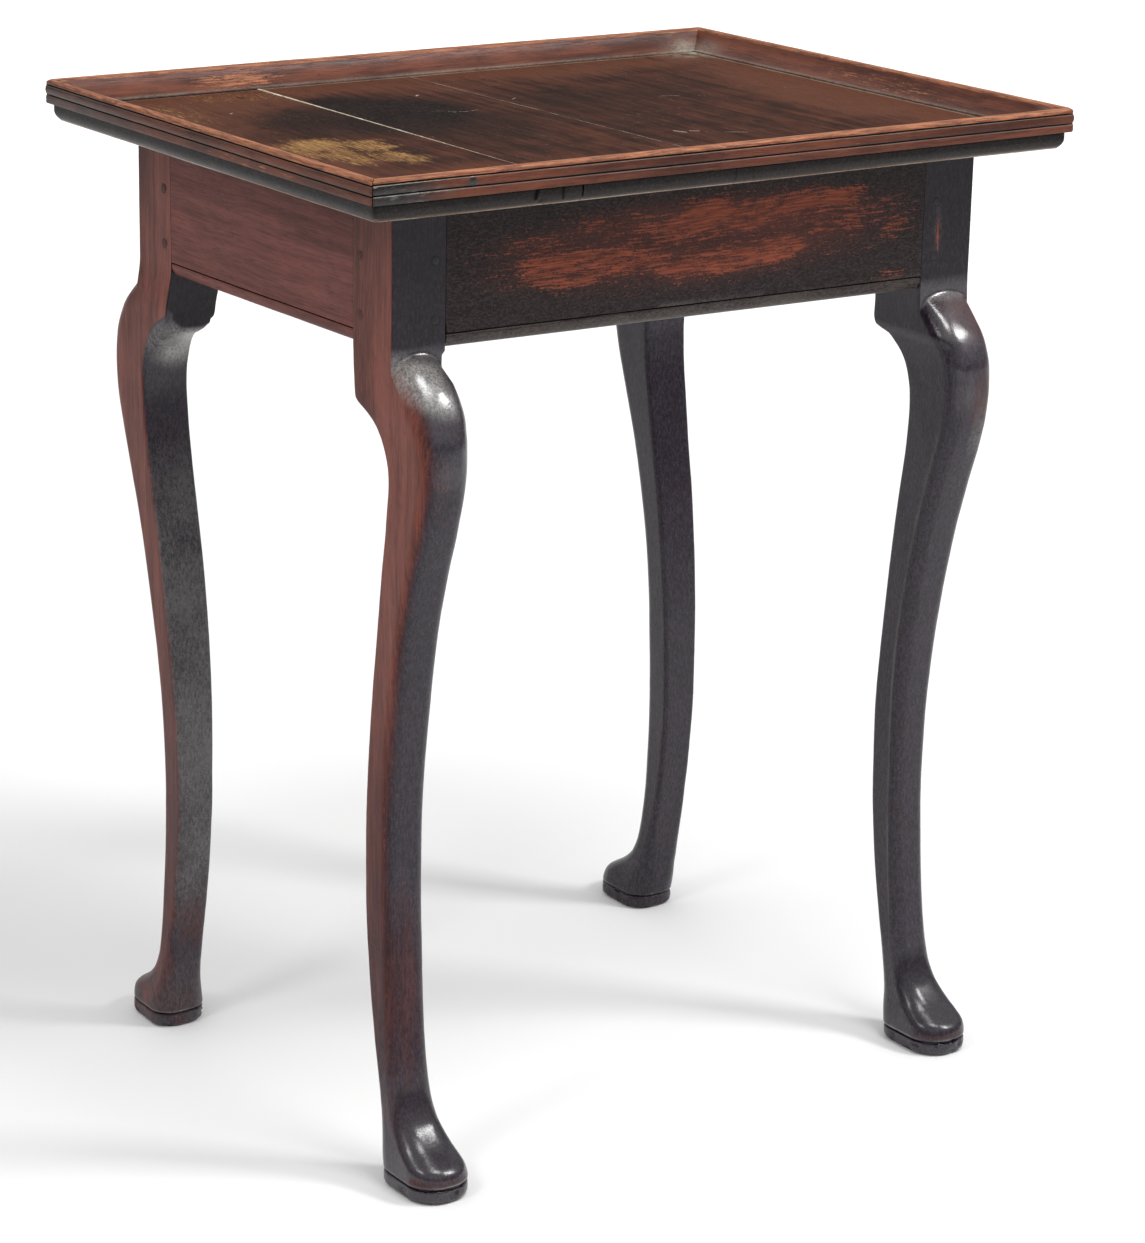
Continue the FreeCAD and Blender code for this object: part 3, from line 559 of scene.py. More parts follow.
# How far each leg's outline stands off the square plan at these heights, seen from the
# photograph's side: at its left and at its right, along the direction SIGHT.
SIGHT = np.array([0.81980, -0.57265, 0.0])
DRIFT_Z = [0, 14, 30, 50, 75, 110, 150, 200, 250, 300, 350, 400, 440, 475, 505, 530, 552, 572]
DRIFT = {
    ("front", "left"): ([1.1, 1.0, 1.1, 1.4, 1.7, 2.1, 2.4, 2.3, 2.2, 1.7, 1.7, 1.9, 1.8, 2.4, 3.8, 2.9, 0.7, 0.3],
                        [2.1, 2.2, 2.1, 1.6, 1.3, 1.2, 1.2, 0.7, 0.3, 0.1, -0.6, -1.6, -1.7, -1.2, 0.8, 1.9, 1.6, 2.0]),
    ("front", "right"): ([0.6, -0.4, -1.5, -1.5, -1.1, -0.9, -0.9, -0.7, -1.2, -1.7, -2.0, -2.6, -2.8, -2.6, -1.9, -1.1, -0.3, 0.5],
                         [1.8, 1.7, 1.0, -0.8, -1.9, -2.7, -3.3, -3.7, -3.4, -2.9, -2.8, -2.6, -2.6, -2.4, -1.8, -0.8, 0.4, 1.0]),
    ("back", "left"): ([-2.8, -2.2, -1.5, -1.7, -2.3, -2.2, -1.5, -1.1, -1.7, -2.8, -3.8, -4.6, -5.0, -5.0, -4.8, -4.5, -4.2, -4.0],
                       [-6.4, -6.2, -5.7, -5.4, -5.4, -5.2, -5.2, -5.1, -4.7, -3.9, -3.8, -4.9, -5.9, -6.1, -6.4, -6.2, -5.4, -4.6]),
    ("back", "right"): ([-5.2, -4.3, -3.3, -2.8, -2.7, -2.4, -2.4, -3.0, -3.6, -3.6, -4.1, -5.5, -6.4, -6.6, -6.4, -5.9, -5.5, -5.1],
                        [-5.9, -5.4, -4.7, -4.0, -4.2, -5.3, -6.0, -6.2, -6.3, -5.5, -5.3, -6.1, -6.1, -5.4, -4.6, -3.8, -3.1, -2.4])}


def drift(P, fb, lr):
    """Moves the rings of a leg (nu, nv, 3) so that its outline stands as in the photograph."""
    s = P @ SIGHT
    mid, half = (s.max(1) + s.min(1)) / 2, (s.max(1) - s.min(1)) / 2
    t = (s - mid[:, None]) / half[:, None]
    z = P[:, 0, 2]
    a, b = (pchip(list(zip(DRIFT_Z, v)))(np.clip(z, 0, 572)) * sstep(590, 552, z) for v in DRIFT[(fb, lr)])
    return P + ((a[:, None] * (1 - t) + b[:, None] * (1 + t)) / 2)[..., None] * SIGHT


def leg_grid(seed, tongue=False, lift=0.0, bow=6.0):
    rings = []
    iz = np.array([p[0] for p in INSET], float)
    iv = np.array([p[1] for p in INSET], float)
    for z in LEVELS:
        inset = np.interp(z, iz, iv) if z < 13.2 else 0.0
        zz = max(z, 12.0)
        xi, xo = float(X_IN(zz)) + inset, float(X_OUT(zz)) - inset
        yi, yo = float(Y_IN(zz)) + inset, float(Y_OUT(zz)) - inset
        rf = max(0.3, float(R_FAR(zz)) - inset * 0.5)
        rn = max(0.2, float(R_NEAR(zz)) - inset * 0.5)
        half = (xo - xi) / 2
        s = np.sin(np.linspace(math.pi / 2, -math.pi / 2, N_FRONT))
        x = (xo + xi) / 2 + half * s
        d_out, d_in = xo - x, x - xi
        d = np.minimum(d_out, d_in)
        # the knee's top runs up in an arc across the stile
        up = sstep(526, 572, z)
        top = Y_OUT(zz - lift * up + bow * up * s * s) - inset
        k = np.clip(rf - d, 0, rf)
        dome = top - rf + np.sqrt(np.maximum(rf * rf - k * k, 0))
        crown = np.interp(z, [0, 60, 120, 420, 500, 570, 583], [0.3, 0.5, 0.9, 1.0, 1.6, 1.6, 1.2])
        dome = dome - crown * s * s
        front = dome
        if z > 545:
            ra = 1.1
            rb = 0.9 if z < 581.5 else 0.35
            ka = np.clip(ra - d_out, 0, ra)
            kb = np.clip(rb - d_in, 0, rb)
            stile = FY - (ra - np.sqrt(np.maximum(ra * ra - ka * ka, 0))) - (rb - np.sqrt(np.maximum(rb * rb - kb * kb, 0)))
            front = smax(stile, dome, 1.3)
        a = np.linspace(0, 1, N_SIDE, endpoint=False)
        ya = yi + rn
        side_y = ya + (front[0] - ya) * a ** 0.9
        side = np.stack([np.full(N_SIDE, xo), side_y], -1)
        fr = np.stack([x, front], -1)
        back_y = front[-1] + (ya - front[-1]) * (1 - (1 - np.linspace(0, 1, N_SIDE + 1)[1:]) ** 0.9)
        inner = np.stack([np.full(N_SIDE, xi), back_y], -1)
        ph = np.linspace(math.pi, 1.5 * math.pi, N_CORNER + 1)[1:]
        c1 = np.stack([xi + rn + rn * np.cos(ph), yi + rn + rn * np.sin(ph)], -1)
        rear = np.stack([np.linspace(xi + rn, xo - rn, N_REAR + 1)[1:], np.full(N_REAR, yi)], -1)
        ph = np.linspace(1.5 * math.pi, 2 * math.pi, N_CORNER + 1)[1:-1]
        c2 = np.stack([xo - rn + rn * np.cos(ph), yi + rn + rn * np.sin(ph)], -1)
        ring = np.concatenate([side, fr, inner, c1, rear, c2])
        if tongue and z > 500:
            # this stile ends in a rounded tongue over the leg's hollow
            u = np.clip((np.abs(ring[:, 0] - (xi + xo) / 2) - (half - 15.0)) / 15.0, 0, 1)
            low = 7.0 * sstep(505, 535, z) - 15.0 * (1 - np.sqrt(1 - u * u)) * sstep(505, 535, z) * sstep(590, 566, z)
            move = np.array([float(Y_IN(z + q)) for q in low]) - yi
            ring[:, 1] += move * np.clip(1 - (ring[:, 1] - yi) / 26.0, 0, 1)
        rings.append(np.concatenate([ring, np.full((len(ring), 1), z)], 1))
    P = np.array(rings)
    N = grid_normals(P)
    # the marks of spokeshave and wear: long low waves
    z = P[..., 2]
    Q = P * np.array([1, 1, 0.45]) / 26.0 + seed * 11.1
    amp = np.interp(z, [0, 12, 20, 60, 480, 540, 590, 600, 682], [0.0, 0.05, 0.25, 0.30, 0.30, 0.28, 0.16, 0.07, 0.05])
    P = P + N * (fbm(Q, seed, 2) * amp)[..., None]
    Q = P / 7.0 + seed * 3.7
    P = P + N * (vnoise(Q, seed + 50) * amp * 0.22)[..., None]
    # the pad is chipped and uneven
    low = (z < 12.5) & (z > 0.2)
    chip = sstep(0.10, 0.55, fbm(P * np.array([1, 1, 2.2]) / 8.0 + seed, seed + 9, 3)) * 1.5
    P = P - N * np.where(low, chip, 0)[..., None]
    P[..., 2] = np.maximum(P[..., 2], 0.0)
    return P, N


def leg(fb, lr):
    sx = -1 if lr == "left" else 1
    sy = -1 if fb == "front" else 1
    seed = {("front", "left"): 1, ("front", "right"): 2, ("back", "left"): 3, ("back", "right"): 4}[(fb, lr)]
    near_leg = (fb, lr) == ("front", "left")
    P, N = leg_grid(seed, (fb, lr) == ("back", "left"), 6.5 if near_leg else 0.5, 7.0 if near_leg else 5.5)
    flip = np.array([sx, sy, 1.0])
    P, N = P * flip, N * flip
    z = P[..., 2]
    dx, dy = LEAN[(fb, lr)]
    t = np.clip((575 - z) / 575, 0, 1)
    P[..., 0] += dx * t
    P[..., 1] += dy * t
    P = drift(P, fb, lr)
    if near_leg:
        # cut in below the rail's end
        P[..., 0] -= np.interp(z, [564, 574, 581, 583.5], [0, 3.0, 2.2, 0]) * np.clip((P[..., 0] + 241.5) / 41.0, 0, 1)
    if (fb, lr) == ("front", "right"):
        # this stile is a little wider, and deeper below the rail
        inner = np.clip((241.5 - P[..., 0]) / 41.0, 0, 1)
        P[..., 0] -= 2.9 * inner * sstep(541, 551, z)
        P[..., 1] += np.interp(z, [536, 543, 547.5, 554, 581.5, 582.3], [0, -3.4, 1.2, 3.4, 3.4, 0]) * sstep(-150, -126, P[..., 1]) * inner
    nx2, ny2, nz2 = N[..., 0] ** 2, N[..., 1] ** 2, N[..., 2] ** 2
    x, y = P[..., 0], P[..., 1]
    # where the old black finish still lies, by face
    left_face = np.interp(z, [0, 12, 40, 110, 200, 330, 520, 600, 660, 682], [0.95, 0.85, 0.72, 0.55, 0.42, 0.26, 0.16, 0.10, 0.14, 0.34])
    right_face = np.interp(z, [0, 40, 110, 330, 600, 682], [0.95, 0.8, 0.7, 0.5, 0.36, 0.5])
    dark = np.interp(z, [0, 60, 300, 480, 682], [0.96, 0.86, 0.86, 0.92, 0.96])
    back_face = np.interp(z, [0, 110, 330, 682], [0.95, 0.75, 0.62, 0.55])
    fx = np.where(N[..., 0] < 0, left_face if lr == "left" else dark, right_face if lr == "right" else dark)
    fy = np.where(N[..., 1] < 0, dark, back_face if fb == "back" else dark)
    wsum = nx2 + ny2 + nz2 * 0.25
    ink_and_shade = (nx2 * fx + ny2 * fy + nz2 * 0.25 * 0.85) / np.maximum(wsum, 1e-6)
    wear = np.zeros_like(z)
    dust_and_sheen = np.zeros_like(z)
    edge = np.zeros_like(z)
    quirk = np.zeros_like(z)
    gloss = np.zeros_like(z)
    rough_z = fbm(P * np.array([1, 1, 0.6]) / 12.0, seed + 33, 3)
    tone = fbm(P * np.array([1, 1, 0.3]) / 60.0, seed + 30, 2) * 0.5
    # the groove over the pad is darkened
    quirk = np.maximum(quirk, 1 - sstep(0.2, 0.7, np.abs(z - 11.1)))
    # worn far corners down the leg
    j = np.arange(P.shape[1])
    jc1, jc2 = N_SIDE, N_SIDE + N_FRONT - 1
    near_corner = np.exp(-((j - jc1 - 5) / 5.0) ** 2) + np.exp(-((j - jc2 + 5) / 5.0) ** 2)
    wear += near_corner[None, :] * np.interp(z, [0, 60, 120, 400, 480, 560, 575], [0.10, 0.14, 0.2, 0.3, 0.42, 0.30, 0.0])
    front_side = N[..., 1] < -0.15
    dome = sstep(591, 580, z) * sstep(0.92, 0.6, np.abs(N[..., 0]))
    lip = np.exp(-((z - 12.9) / 0.7) ** 2) * (0.55 + 0.9 * rough_z)
    edge += np.clip(lip, 0, 0.8) + 0.35 * np.exp(-((z - 0.9) / 0.8) ** 2)
    if (fb, lr) == ("front", "left"):
        wear += blob(x, z, -229, 506, 9, 30, 0.36) + blob(x, z, -231, 430, 7, 50, 0.05)
        # the grey over the knee's dome is partly dust and partly a painted sheen of its broad highlight
        dust_and_sheen += np.where(front_side, blob(x + 0.55 * (z - 560), z, -225, 566, 21, 19, 0.95), 0)
        dust_and_sheen += np.where(N[..., 2] > 0.35, blob(x, z, -222, 574, 24, 7, 0.5), 0)
        edge += np.where(front_side | (N[..., 2] > 0.3), np.exp(-((z - 582.5 + 8.0 * ((x + 221) / 20.5) ** 2) / 1.5) ** 2) * (0.5 + rough_z), 0)
        gloss += sstep(492, 530, z) * dome
        # painted highlight: a pale line down the arris between the front and the inner face
        edge += (np.exp(-((j - jc2) / 1.3) ** 2))[None, :] * np.interp(z, [120, 240, 430, 475], [0, 0.55, 0.75, 0])
        ink_and_shade += np.where(front_side, blob(x, z, -210, 500, 10, 42, 0.12), 0)
        ink_and_shade -= np.where(front_side, blob(x, z, -223, 135, 15, 85, 0.27), 0)
    if (fb, lr) == ("front", "right"):
        wear *= 0.22
        # painted highlight: a pale line down the arris between the front and the inner face
        edge += (np.exp(-((j - jc2) / 1.3) ** 2))[None, :] * np.interp(z, [60, 120, 440, 500], [0, 0.30, 0.36, 0])
        edge += np.where(N[..., 2] > 0.25, np.exp(-((z - 577.0 + 6.0 * ((x - 221) / 20.5) ** 2) / 1.4) ** 2) * (0.6 + rough_z), 0)
        dust_and_sheen += np.where(N[..., 2] > 0.30, blob(x, z, 222, 577, 24, 5, 0.45), 0)
        dust_and_sheen += np.where(front_side, blob(x, z, 229, 482, 7, 22, 0.22), 0)
        ink_and_shade -= np.where(front_side, blob(x, z, 227, 506, 12, 34, 0.26) + blob(x, z, 222, 560, 20, 22, 0.25), 0)
        wear += blob(x, z, 211, 622, 2.6, 17, 0.66) * (N[..., 1] < -0.5)
        gloss += sstep(485, 530, z) * dome
    if fb == "front":
        gloss += (0.55 if near_leg else 0.35) * sstep(90, 55, z)
        quirk = np.maximum(quirk, 0.43 * sstep(581, 590, z) * sstep(-0.6, -0.9, N[..., 1]) * sstep(0.06, 0.0, wear))
        ink_and_shade -= np.where(front_side, 0.30 * np.exp(-((z - 15.5) / 3.0) ** 2), 0)
        quirk = np.maximum(quirk, 0.38 * sstep(105, 60, z) * sstep(17, 22, z) * sstep(0.2, -0.3, N[..., 1]))
    if (fb, lr) == ("back", "left"):
        near = j >= 2 * N_SIDE + N_FRONT
        last = j >= len(j) - 1
        ink_and_shade = np.where((near & ~last)[None, :] & (z > 505) & (z < 600), 0.92, ink_and_shade)
        # painted shade: the inner face below the rail is darkened down to a rounded tongue, where the rail shades it
        base = 541.5 + 15 * (1 - np.sqrt(1 - np.clip((np.abs(x + 221) - 5.5) / 15, 0, 1) ** 2))
        tongue = sstep(-1.0, 3.0, z - base) * (near & ~last)[None, :]
        quirk = np.maximum(quirk, 0.50 * tongue * sstep(600, 590, z))
        wear += 0.30 * sstep(75, 22, z) * (0.8 + 0.9 * rough_z)
        ink_and_shade -= 0.26 * sstep(170, 40, z) * (0.8 + 0.9 * rough_z)
        dust_and_sheen += 0.10 * sstep(80, 25, z)
        # painted reflection: faces turned down and inward below the tongue are paled like a reflection of the white
        # floor, and a painted sheen runs further down the leg; the tongue itself is left dark
        inward = sstep(-0.15, -0.45, N[..., 1] + np.minimum(N[..., 2], 0))
        dust_and_sheen += inward * (blob(x, z, -221, 534, 26, 26, 1.0) * (0.9 + 0.8 * rough_z) + 0.28 * sstep(480, 400, z) * sstep(60, 140, z)) * (1 - tongue)
    if (fb, lr) == ("back", "right"):
        dust_and_sheen += np.where(z < 40, 0.3 * np.clip(N[..., 2], 0, 1), 0.0)
    dust_and_sheen, edge, wear = np.clip(dust_and_sheen, 0, 1), np.clip(edge, 0, 1), np.clip(wear, 0, 1)
    attrs = dict(ink_and_shade=ink_and_shade, wear=wear, dust_and_sheen=dust_and_sheen, edge=edge, quirk=quirk, tone=tone, gloss=np.clip(gloss, 0, 1))
    nu, nv = P.shape[:2]
    o = mesh("%s_%s_leg" % (fb, lr), P.reshape(-1, 3), tube_faces(nu, nv), attrs, 38)
    return piece(o, ["leg_%s_%s" % (fb, lr)], mat_leg)


for fb in ("front", "back"):
    for lr in ("left", "right"):
        leg(fb, lr)


# ---------------------------------------------------------------- frieze rails
def rail_section():
    """(distance out from the rail's own face plane, height), and the weight of painted shade in the quirk."""
    pts = []
    out = 0.0
    q, low = 593.0, 582.5
    pts += [(p, 0) for p in line((out - 22, FRIEZE), (out - 22, low + 0.8), 12)]
    pts += [(p, 0) for p in line((out - 21.2, low), (out - 8.25, low), 8)]
    bead = arc((out - 8.25, low), (out - 0.40, q - 1.25), 8.2, 1, 16)
    pts += [(p, 0.0) for p in bead]
    pts += [((out - 0.75, q - 0.95), 0.45), ((out - 1.5, q - 0.62), 1.0), ((out - 1.1, q - 0.25), 0.8),
            ((out - 0.35, q - 0.02), 0.25)]
    pts += [(p, 0) for p in line((out - 0.02, q + 0.25), (out, FRIEZE), 24)]
    pts += [((out, FRIEZE), 0)]
    pts += [(p, 0) for p in line((out - 3, FRIEZE), (out - 22, FRIEZE), 5)]
    return np.array([p for p, _ in pts]), np.array([c for _, c in pts], float)


def rail(side):
    long_side = side in ("front", "back")
    sgn = -1 if side in ("front", "left") else 1
    half_out = FY if long_side else FX
    half_len = (SX if long_side else SY) - 0.12
    seed = {"front": 11, "back": 12, "left": 13, "right": 14}[side]
    sec, cav = rail_section()
    ends = [0, 0.12, 0.3, 0.7, 1.6, 3.2]
    body = np.linspace(-half_len + 6, half_len - 6, int((half_len * 2 - 12) / 3.2))
    a = np.concatenate([[-half_len + e for e in ends], body, [half_len - e for e in ends[::-1]]])
    ease = np.interp(np.minimum(a + half_len, half_len - a), [0, 0.12, 0.3, 0.7], [0.32, 0.16, 0.05, 0.0])
    A, O = np.meshgrid(a, sec[:, 0], indexing="ij")
    _, Z = np.meshgrid(a, sec[:, 1], indexing="ij")
    face = sstep(-9, -2, O)
    O = O - ease[:, None] * face
    wob = fbm(np.stack([A / 70.0, Z / 34.0, A * 0 + seed], -1), seed, 3)
    O = O + wob * 0.20 * face * sstep(0, 6, np.minimum(A + half_len, half_len - A))
    # the bead runs a little unevenly
    bead = sstep(612, 593, Z)
    Z = Z + bead * face * noise1(A / 55.0, seed + 3) * 0.30
    # its lower edge is not quite level
    fall = {"front": -1.9, "left": -0.9}.get(side, 0.0)
    Z = Z + sstep(630, 593, Z) * fall * A / half_len * sstep(-22.5, -20, O)
    out = half_out + O
    quirk = np.broadcast_to(cav, A.shape).copy()
    if side == "front":
        # the slit at the left end of the lower edge
        gap = sstep(-half_len + 1.5, -half_len, A) * sstep(603, 599, Z)
        A = A + gap * 0.9
        A = A - 2.9 * sstep(half_len - 9, half_len, A)
    if long_side:
        P = np.stack([A, sgn * out, Z], -1)
    else:
        P = np.stack([sgn * out, A, Z], -1)
    x, y, z = P[..., 0], P[..., 1], P[..., 2]
    outer = sstep(-9, -5, O)
    tone = fbm(np.stack([A / 80.0, Z / 14.0, A * 0 + seed], -1), seed + 5, 3) * (0.6 if long_side else 0.25)
    wear = np.zeros_like(z)
    dust_and_sheen = np.zeros_like(z)
    edge = np.zeros_like(z)
    # painted shadow: each rail is darkened towards its top, where the tray's overhang shades it
    tray_shadow_painted = sstep(655, 683, z)
    if side == "front":
        for cx, cz, rx, rz, p in ((60, 650, 106, 16, .72), (8, 651, 46, 18, .78), (102, 655, 54, 11, .84),
                                  (-72, 652, 42, 13, .50), (-142, 651, 16, 7, .46), (-100, 628, 60, 18, .74),
                                  (-118, 631, 36, 12, .84), (22, 620, 84, 12, .78), (70, 624, 34, 9, .72),
                                  (166, 640, 26, 20, .46), (168, 625, 15, 5, .58), (120, 640, 44, 18, .48),
                                  (168, 596, 19, 4.5, .44), (-48, 628, 46, 12, .72), (-128, 646, 44, 13, .58),
                                  (-30, 642, 60, 14, .56)):
            wear = np.maximum(wear, blob(x, z, cx, cz, rx, rz, p))
        wear = wear - blob(x, z, 78, 640, 26, 7, 0.55) - blob(x, z, 10, 634, 46, 4, 0.22)
        wear = np.where(x < -36.5, wear - 0.12 * sstep(634, 640, z), wear)
        wear = wear + fbm(np.stack([A / 22.0, Z / 6.0, A * 0], -1), seed + 9, 3) * 0.26 * (wear > 0.02)
        oval = blob(x, z, 0, 637, 205, 36, 1.0)
        wear = np.clip(np.maximum(wear, 0.34 * oval ** 0.7), 0, 1)
        ink_and_shade = 0.94 - 0.46 * oval - wear * 0.12
        # painted shadow of the tray's overhang along the top of the front rail
        ink_and_shade = ink_and_shade + 0.25 * sstep(668, 682, z)
        # painted highlights: a pale line on the quirk's upper lip and a pale sheen over the bead, strongest at its
        # bottom and underside
        edge = edge + np.where(np.abs(Z - 593.2) < 0.5, 0.30, 0)
        dust_and_sheen = dust_and_sheen + 0.16 * sstep(593, 590.5, Z) + 0.10 * sstep(588, 584, Z)
    elif side == "left":
        ink_and_shade = 0.13 + 0.42 * tray_shadow_painted + blob(y, z, 20, 640, 140, 12, 0.06)
    elif side == "right":
        ink_and_shade = 0.42 + 0.3 * tray_shadow_painted
    else:
        ink_and_shade = 0.62 + 0.2 * tray_shadow_painted
    ink_and_shade = ink_and_shade * outer + 0.12 * (1 - outer)
    attrs = dict(ink_and_shade=ink_and_shade, wear=wear * outer, dust_and_sheen=dust_and_sheen, edge=edge, quirk=quirk, tone=tone)
    nu, nv = P.shape[:2]
    o = mesh("%s_rail" % side, P.reshape(-1, 3), tube_faces(nu, nv), attrs, 40)
    return piece(o, ["rail_" + side], mat_rail_x if long_side else mat_rail_y)


for side in ("front", "back", "left", "right"):
    rail(side)


# ---------------------------------------------------------------- tray: shared corner maths
def corner_map(s, half_a, half_b, d, radius):
    """Maps s (-1..1 along a side) at inset d to (along, outward), with the tray's corners
    rounded to the given radius."""
    la, lb = half_a - d, half_b - d
    a = s * la
    t = la - np.abs(a)
    r = np.maximum(radius, 1e-6)
    inside = t < r
    ph = np.pi / 4 * (1 - t / r)
    a2 = np.where(inside, np.sign(a) * (la - r + r * np.sin(ph)), a)
    b2 = np.where(inside, lb - r + r * np.cos(ph), lb)
    return a2, b2


def side_samples(half, step, extra=()):
    t = [0, 0.35, 0.8, 1.3, 1.9, 2.6, 3.4, 4.4, 6.0, 8.5]
    n = int((half * 2 - 24) / step)
    mid = np.linspace(-half + 12, half - 12, n)
    a = np.concatenate([[-half + e for e in t], mid, [half - e for e in t[::-1]]])
    a = np.concatenate([a] + [np.array([c - 1.0, c - 0.35, c, c + 0.35, c + 1.0]) for c in extra])
    return np.unique(np.round(a, 3))


# ---------------------------------------------------------------- top boards
CRACKS_FRONT = (-163.5,)
NICKS_FRONT = ((-254.0, 1.2), (-160.0, 1.0))
EDGE_RINGS = [(20.0, 682.0, 0), (14.0, 682.0, 0), (9.6, 682.0, 0), (8.6, 682.02, 0.1), (8.3, 682.12, 0.6), (8.1, 682.35, 0.8)]
EDGE_RINGS += [(d, z, 0) for d, z in arc((7.85, 682.7), (4.7, 689.0), 8.75, -1, 10)]
EDGE_RINGS += [(4.7, 690.4, 0), (4.7, 691.8, 0), (4.72, 692.9, 0), (4.85, 693.5, 0.2), (5.2, 693.9, 0.3), (5.8, 694.0, 0.3),
               (9.0, 694.0, 0), (15.0, 694.0, 0), (20.0, 694.0, 0)]
SEAM1 = ((-127.53, -TY), (-124.47, TY))
SEAM2 = ((9.55, -TY), (4.45, TY))


def board_shell():
    sa = side_samples(TX, 4.2, CRACKS_FRONT + (-142.0, -4.9)) / TX
    sb = side_samples(TY, 4.2) / TY
    na, nb = len(sa), len(sb)
    co, faces, loops = [], [], []
    for d, z, _ in EDGE_RINGS:
        r = 3.0 * np.clip((12 - d) / 4.0, 0, 1)
        r = max(r, 0)
        a, b = corner_map(sa, TX, TY, d, r)
        c, e = corner_map(sb, TY, TX, d, r)
        loop = ([(a[i], -b[i], z) for i in range(na - 1)] + [(e[i], c[i], z) for i in range(nb - 1)]
                + [(a[i], b[i], z) for i in range(na - 1, 0, -1)] + [(-e[i], c[i], z) for i in range(nb - 1, 0, -1)])
        L = np.array(loop)
        if 4.0 < d < 8.9 and z < 693.95:
            # hand-planed edge: it wanders a little, and carries cracks and nicks
            ang = np.where(np.abs(L[:, 1]) > np.abs(L[:, 0]) * 0.75, L[:, 0], L[:, 1])
            out = np.zeros_like(L)
            side_y = np.abs(np.abs(L[:, 1]) - (TY - d)) < 0.5
            out[:, 1] = np.where(side_y, np.sign(L[:, 1]), 0)
            out[:, 0] = np.where(side_y, 0, np.sign(L[:, 0]))
            w = noise1(ang / 48.0 + 3.1 * np.sign(L[:, 0] + L[:, 1]), 21, 3) * 0.28 + noise1(ang / 11.0 + z / 9.0, 24, 2) * 0.16
            L = L + out * w[:, None]
            L[:, 2] += noise1(ang / 75.0 + 9, 22, 2) * 0.22 * (1 if z < 690 else 0.4)
            front = L[:, 1] < -TY + 12
            for c in CRACKS_FRONT:
                bend = c + 2.2 * ((z - 684) / 10.0) ** 2
                k = np.exp(-((L[:, 0] - c) / 0.42) ** 2) * front
                L[:, 1] += k * 1.1
                L[:, 0] += np.where(front, (bend - c) * np.exp(-((L[:, 0] - c) / 6.0) ** 2), 0)
            for c, wd in NICKS_FRONT:
                k = np.exp(-((L[:, 0] - c) / wd) ** 2) * front * (1 if z < 687 else 0.15)
                L[:, 1] += k * 0.9
        loops.append(len(co))
        co += [tuple(p) for p in L]
    n = len(loop)
    for i in range(len(EDGE_RINGS) - 1):
        for j in range(n):
            k = (j + 1) % n
            faces.append((loops[i] + j, loops[i] + k, loops[i + 1] + k, loops[i + 1] + j))

    def ring_index(i, j):
        """Loop index of a point on the border of the inner grid."""
        if j == 0 and i < na - 1:
            return i
        if i == na - 1 and j < nb - 1:
            return na - 1 + j
        if j == nb - 1 and i > 0:
            return na - 1 + nb - 1 + (na - 1 - i)
        return na - 1 + nb - 1 + na - 1 + (nb - 1 - j)

    for which, z in ((0, 682.0), (len(EDGE_RINGS) - 1, 694.0)):
        start = len(co)
        d = 20.0
        gx, gy = sa[1:-1] * (TX - d), sb[1:-1] * (TY - d)
        G = np.stack(np.meshgrid(gx, gy, indexing="ij"), -1)
        h = fbm(np.concatenate([G * np.array([1 / 46.0, 1 / 120.0]), G[..., :1] * 0 + which], -1), 25 + which, 3)
        fade = sstep(0, 10, np.minimum(TX - 20 - np.abs(G[..., 0]), TY - 20 - np.abs(G[..., 1])))
        zz = z - (h * 0.5 + 0.5) * 0.35 * fade * (1 if which else -0.4)
        co += [(p[0], p[1], q) for p, q in zip(G.reshape(-1, 2), zz.ravel())]

        def at(i, j):
            if 0 < i < na - 1 and 0 < j < nb - 1:
                return start + (i - 1) * (nb - 2) + (j - 1)
            return loops[which] + ring_index(i, j)

        for i in range(na - 1):
            for j in range(nb - 1):
                faces.append((at(i, j), at(i + 1, j), at(i + 1, j + 1), at(i, j + 1)))
    me = bpy.data.meshes.new("shell")
    me.from_pydata([(p[0] / 1000, p[1] / 1000, p[2] / 1000) for p in co], [], faces)
    me.update()
    return me


